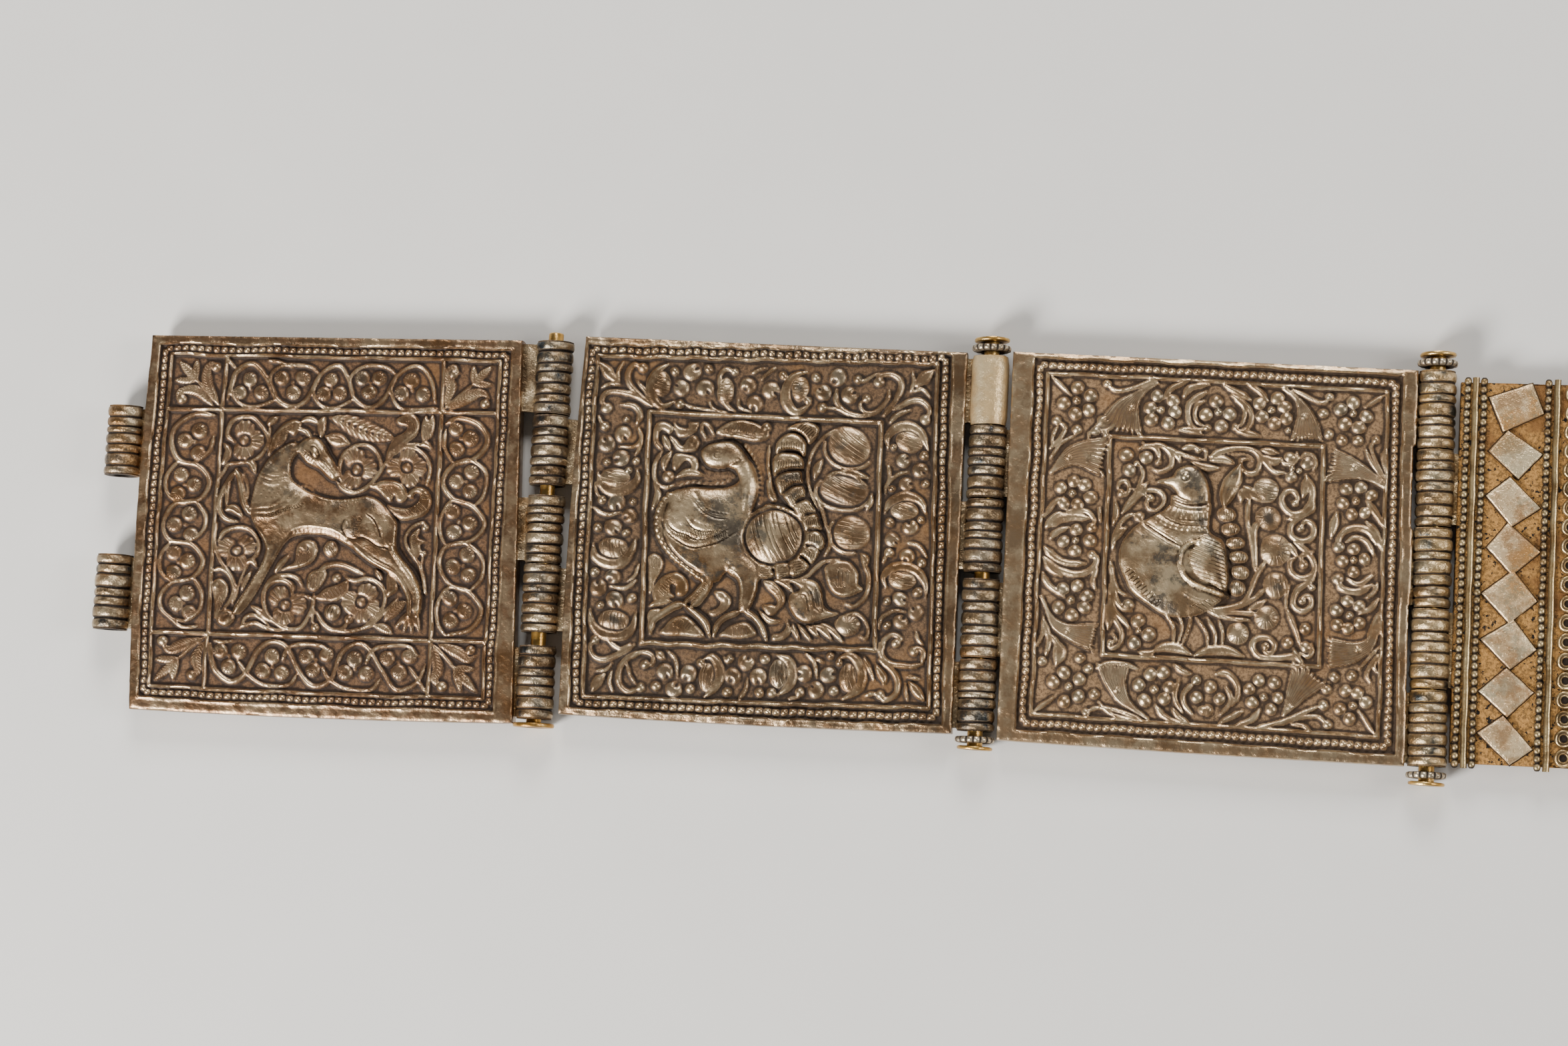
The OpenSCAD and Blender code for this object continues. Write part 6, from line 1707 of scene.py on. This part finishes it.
def turned(hinge, section, tilt=0.0):
    """Solid turned on a hinge axis and then tilted a little. Columns of the section: radius, place along the axis,
    lift, hollow, wear and sheen. Hollow is dirt with painted shade, and wear comes with a painted highlight."""
    section = np.array(section, float)
    angle = 2 * np.pi * np.arange(28) / 28
    radius = section[:, :1] * (1 + 0.012 * np.sin(3 * angle + hinge) + 0.01 * np.sin(5 * angle))
    x, z = radius * np.sin(angle), radius * np.cos(angle)
    y = section[:, 1:2] + tilt * x + 0.4 * tilt * z
    return skins(axes[hinge] + x, y, axis_z + z, *section.T[2:, :, None], 0)


def rod(hinge, top, foot):
    """Rod with slightly rounded ends."""
    along = np.linspace(top - 0.3, foot + 0.3, 20)
    # The rounded ends take wear and a painted highlight
    section = [(1.1, top, 1, 0, 1), (1.3, top - 0.1, 1, 0, 1)]
    section += [(rod_radius, y, 1, 0, 0.4) for y in along]
    section += [(1.3, foot + 0.1, 1, 0, 1), (1.1, foot, 1, 0, 1)]
    return turned(hinge, section)


def disc(hinge, radius, top, thick, tilt):
    """Disc with a rounded rim, lightened by wear and a painted highlight, and darkened round the rod by dirt and
    painted shade.
    """
    section = [(0.7, top, 0.6, 0.6, 0), (1.6, top, 0.7, 0.4, 0), (radius - 0.5, top, 1, 0, 0.3),
               (radius - 0.12, top - 0.08, 1, 0, 1), (radius, top - 0.5 * thick, 1, 0, 1),
               (radius - 0.12, top - thick + 0.08, 1, 0, 1), (radius - 0.5, top - thick, 1, 0, 0.2),
               (1.6, top - thick, 0.6, 0.6, 0)]
    return turned(hinge, section, tilt)


old_brass = silver_material("old_brass", finish, (
    (150, 110, 50), (196, 150, 76), (240, 208, 140), (58, 38, 16), (120, 110, 90), (130, 84, 36)), 0.2, 0.5)
top_of = [rows[0][0] for rows in knuckle_rows]
bottom_of = [rows[4][1] for rows in knuckle_rows]
for hinge, body in enumerate(links, 1):
    if hinge in (1, 6):
        foot = bottom_of[hinge] - 0.7
        parts = [rod(hinge, top_of[hinge] + 1.8, foot - 0.5), disc(hinge, washer_radius, foot, washer_thick, 0.0)]
    else:
        foot = bottom_of[hinge] - 2.6
        top = top_of[hinge] + 2.6 if hinge < 7 else closing_top
        parts = [rod(hinge, top + 0.5, foot - 0.5), disc(hinge, head_radius, top + 0.85, head_thick, head_lean),
                 disc(hinge, head_radius, foot - 0.1, head_thick, -head_lean)]
    node = "closing_pin" if hinge == 7 else f"hinge_pin_{hinge}"
    forged("brass_" + node, body, parts, old_brass, node=node)

# ---------------------------------------------------------------------------------------------
# Collars: rings of beaded silver wire, loose on the inner pins between the knuckles and the discs.
# ---------------------------------------------------------------------------------------------
collar_silver = silver_material("collar_silver", finish, (
    (110, 92, 70), (182, 164, 138), (226, 214, 190), (30, 22, 16), (96, 100, 100), (160, 120, 70)), 0.6, 0.4)


def collar(hinge, top):
    """Loop of sections round the axis: each a rounded oblong whose outer side and height swell at every bead."""
    turn = 2 * np.pi * np.arange(112)[:, None] / 112
    swell = np.abs(np.sin(8 * turn)) ** 0.6
    outer = np.maximum(np.cos(2 * np.pi * np.arange(12) / 12), 0)
    across, up = oblong(12, 0.6)
    middle, half_wide, half_high = 2.55, 0.85, 0.6
    radius = middle + across * half_wide + outer * (0.28 * swell - 0.05)
    along = up * (half_high * (1 - 0.22 * (1 - swell) * outer))
    x = axes[hinge] + radius * np.sin(turn)
    z = axis_z + radius * np.cos(turn)
    y = top - 0.65 + along
    # The gaps between beads and the inner side take dirt and painted shade, and the beads' outer faces wear and a
    # painted highlight
    lift = 0.3 + 0.7 * swell * outer
    hollow = np.clip((1 - swell) * 1.3 * outer + 0.3 * (1 - outer), 0, 1)
    return skins(x, y, z, lift, hollow, swell * outer, 0, loop=True)


for hinge in (2, 3, 4, 5):
    for end, top in (("top", top_of[hinge] + 2.2), ("bottom", bottom_of[hinge] - 0.9)):
        node = f"collar_{hinge}_{end}"
        forged("beaded_" + node, links[hinge - 1], [collar(hinge, top)], collar_silver, node=node)
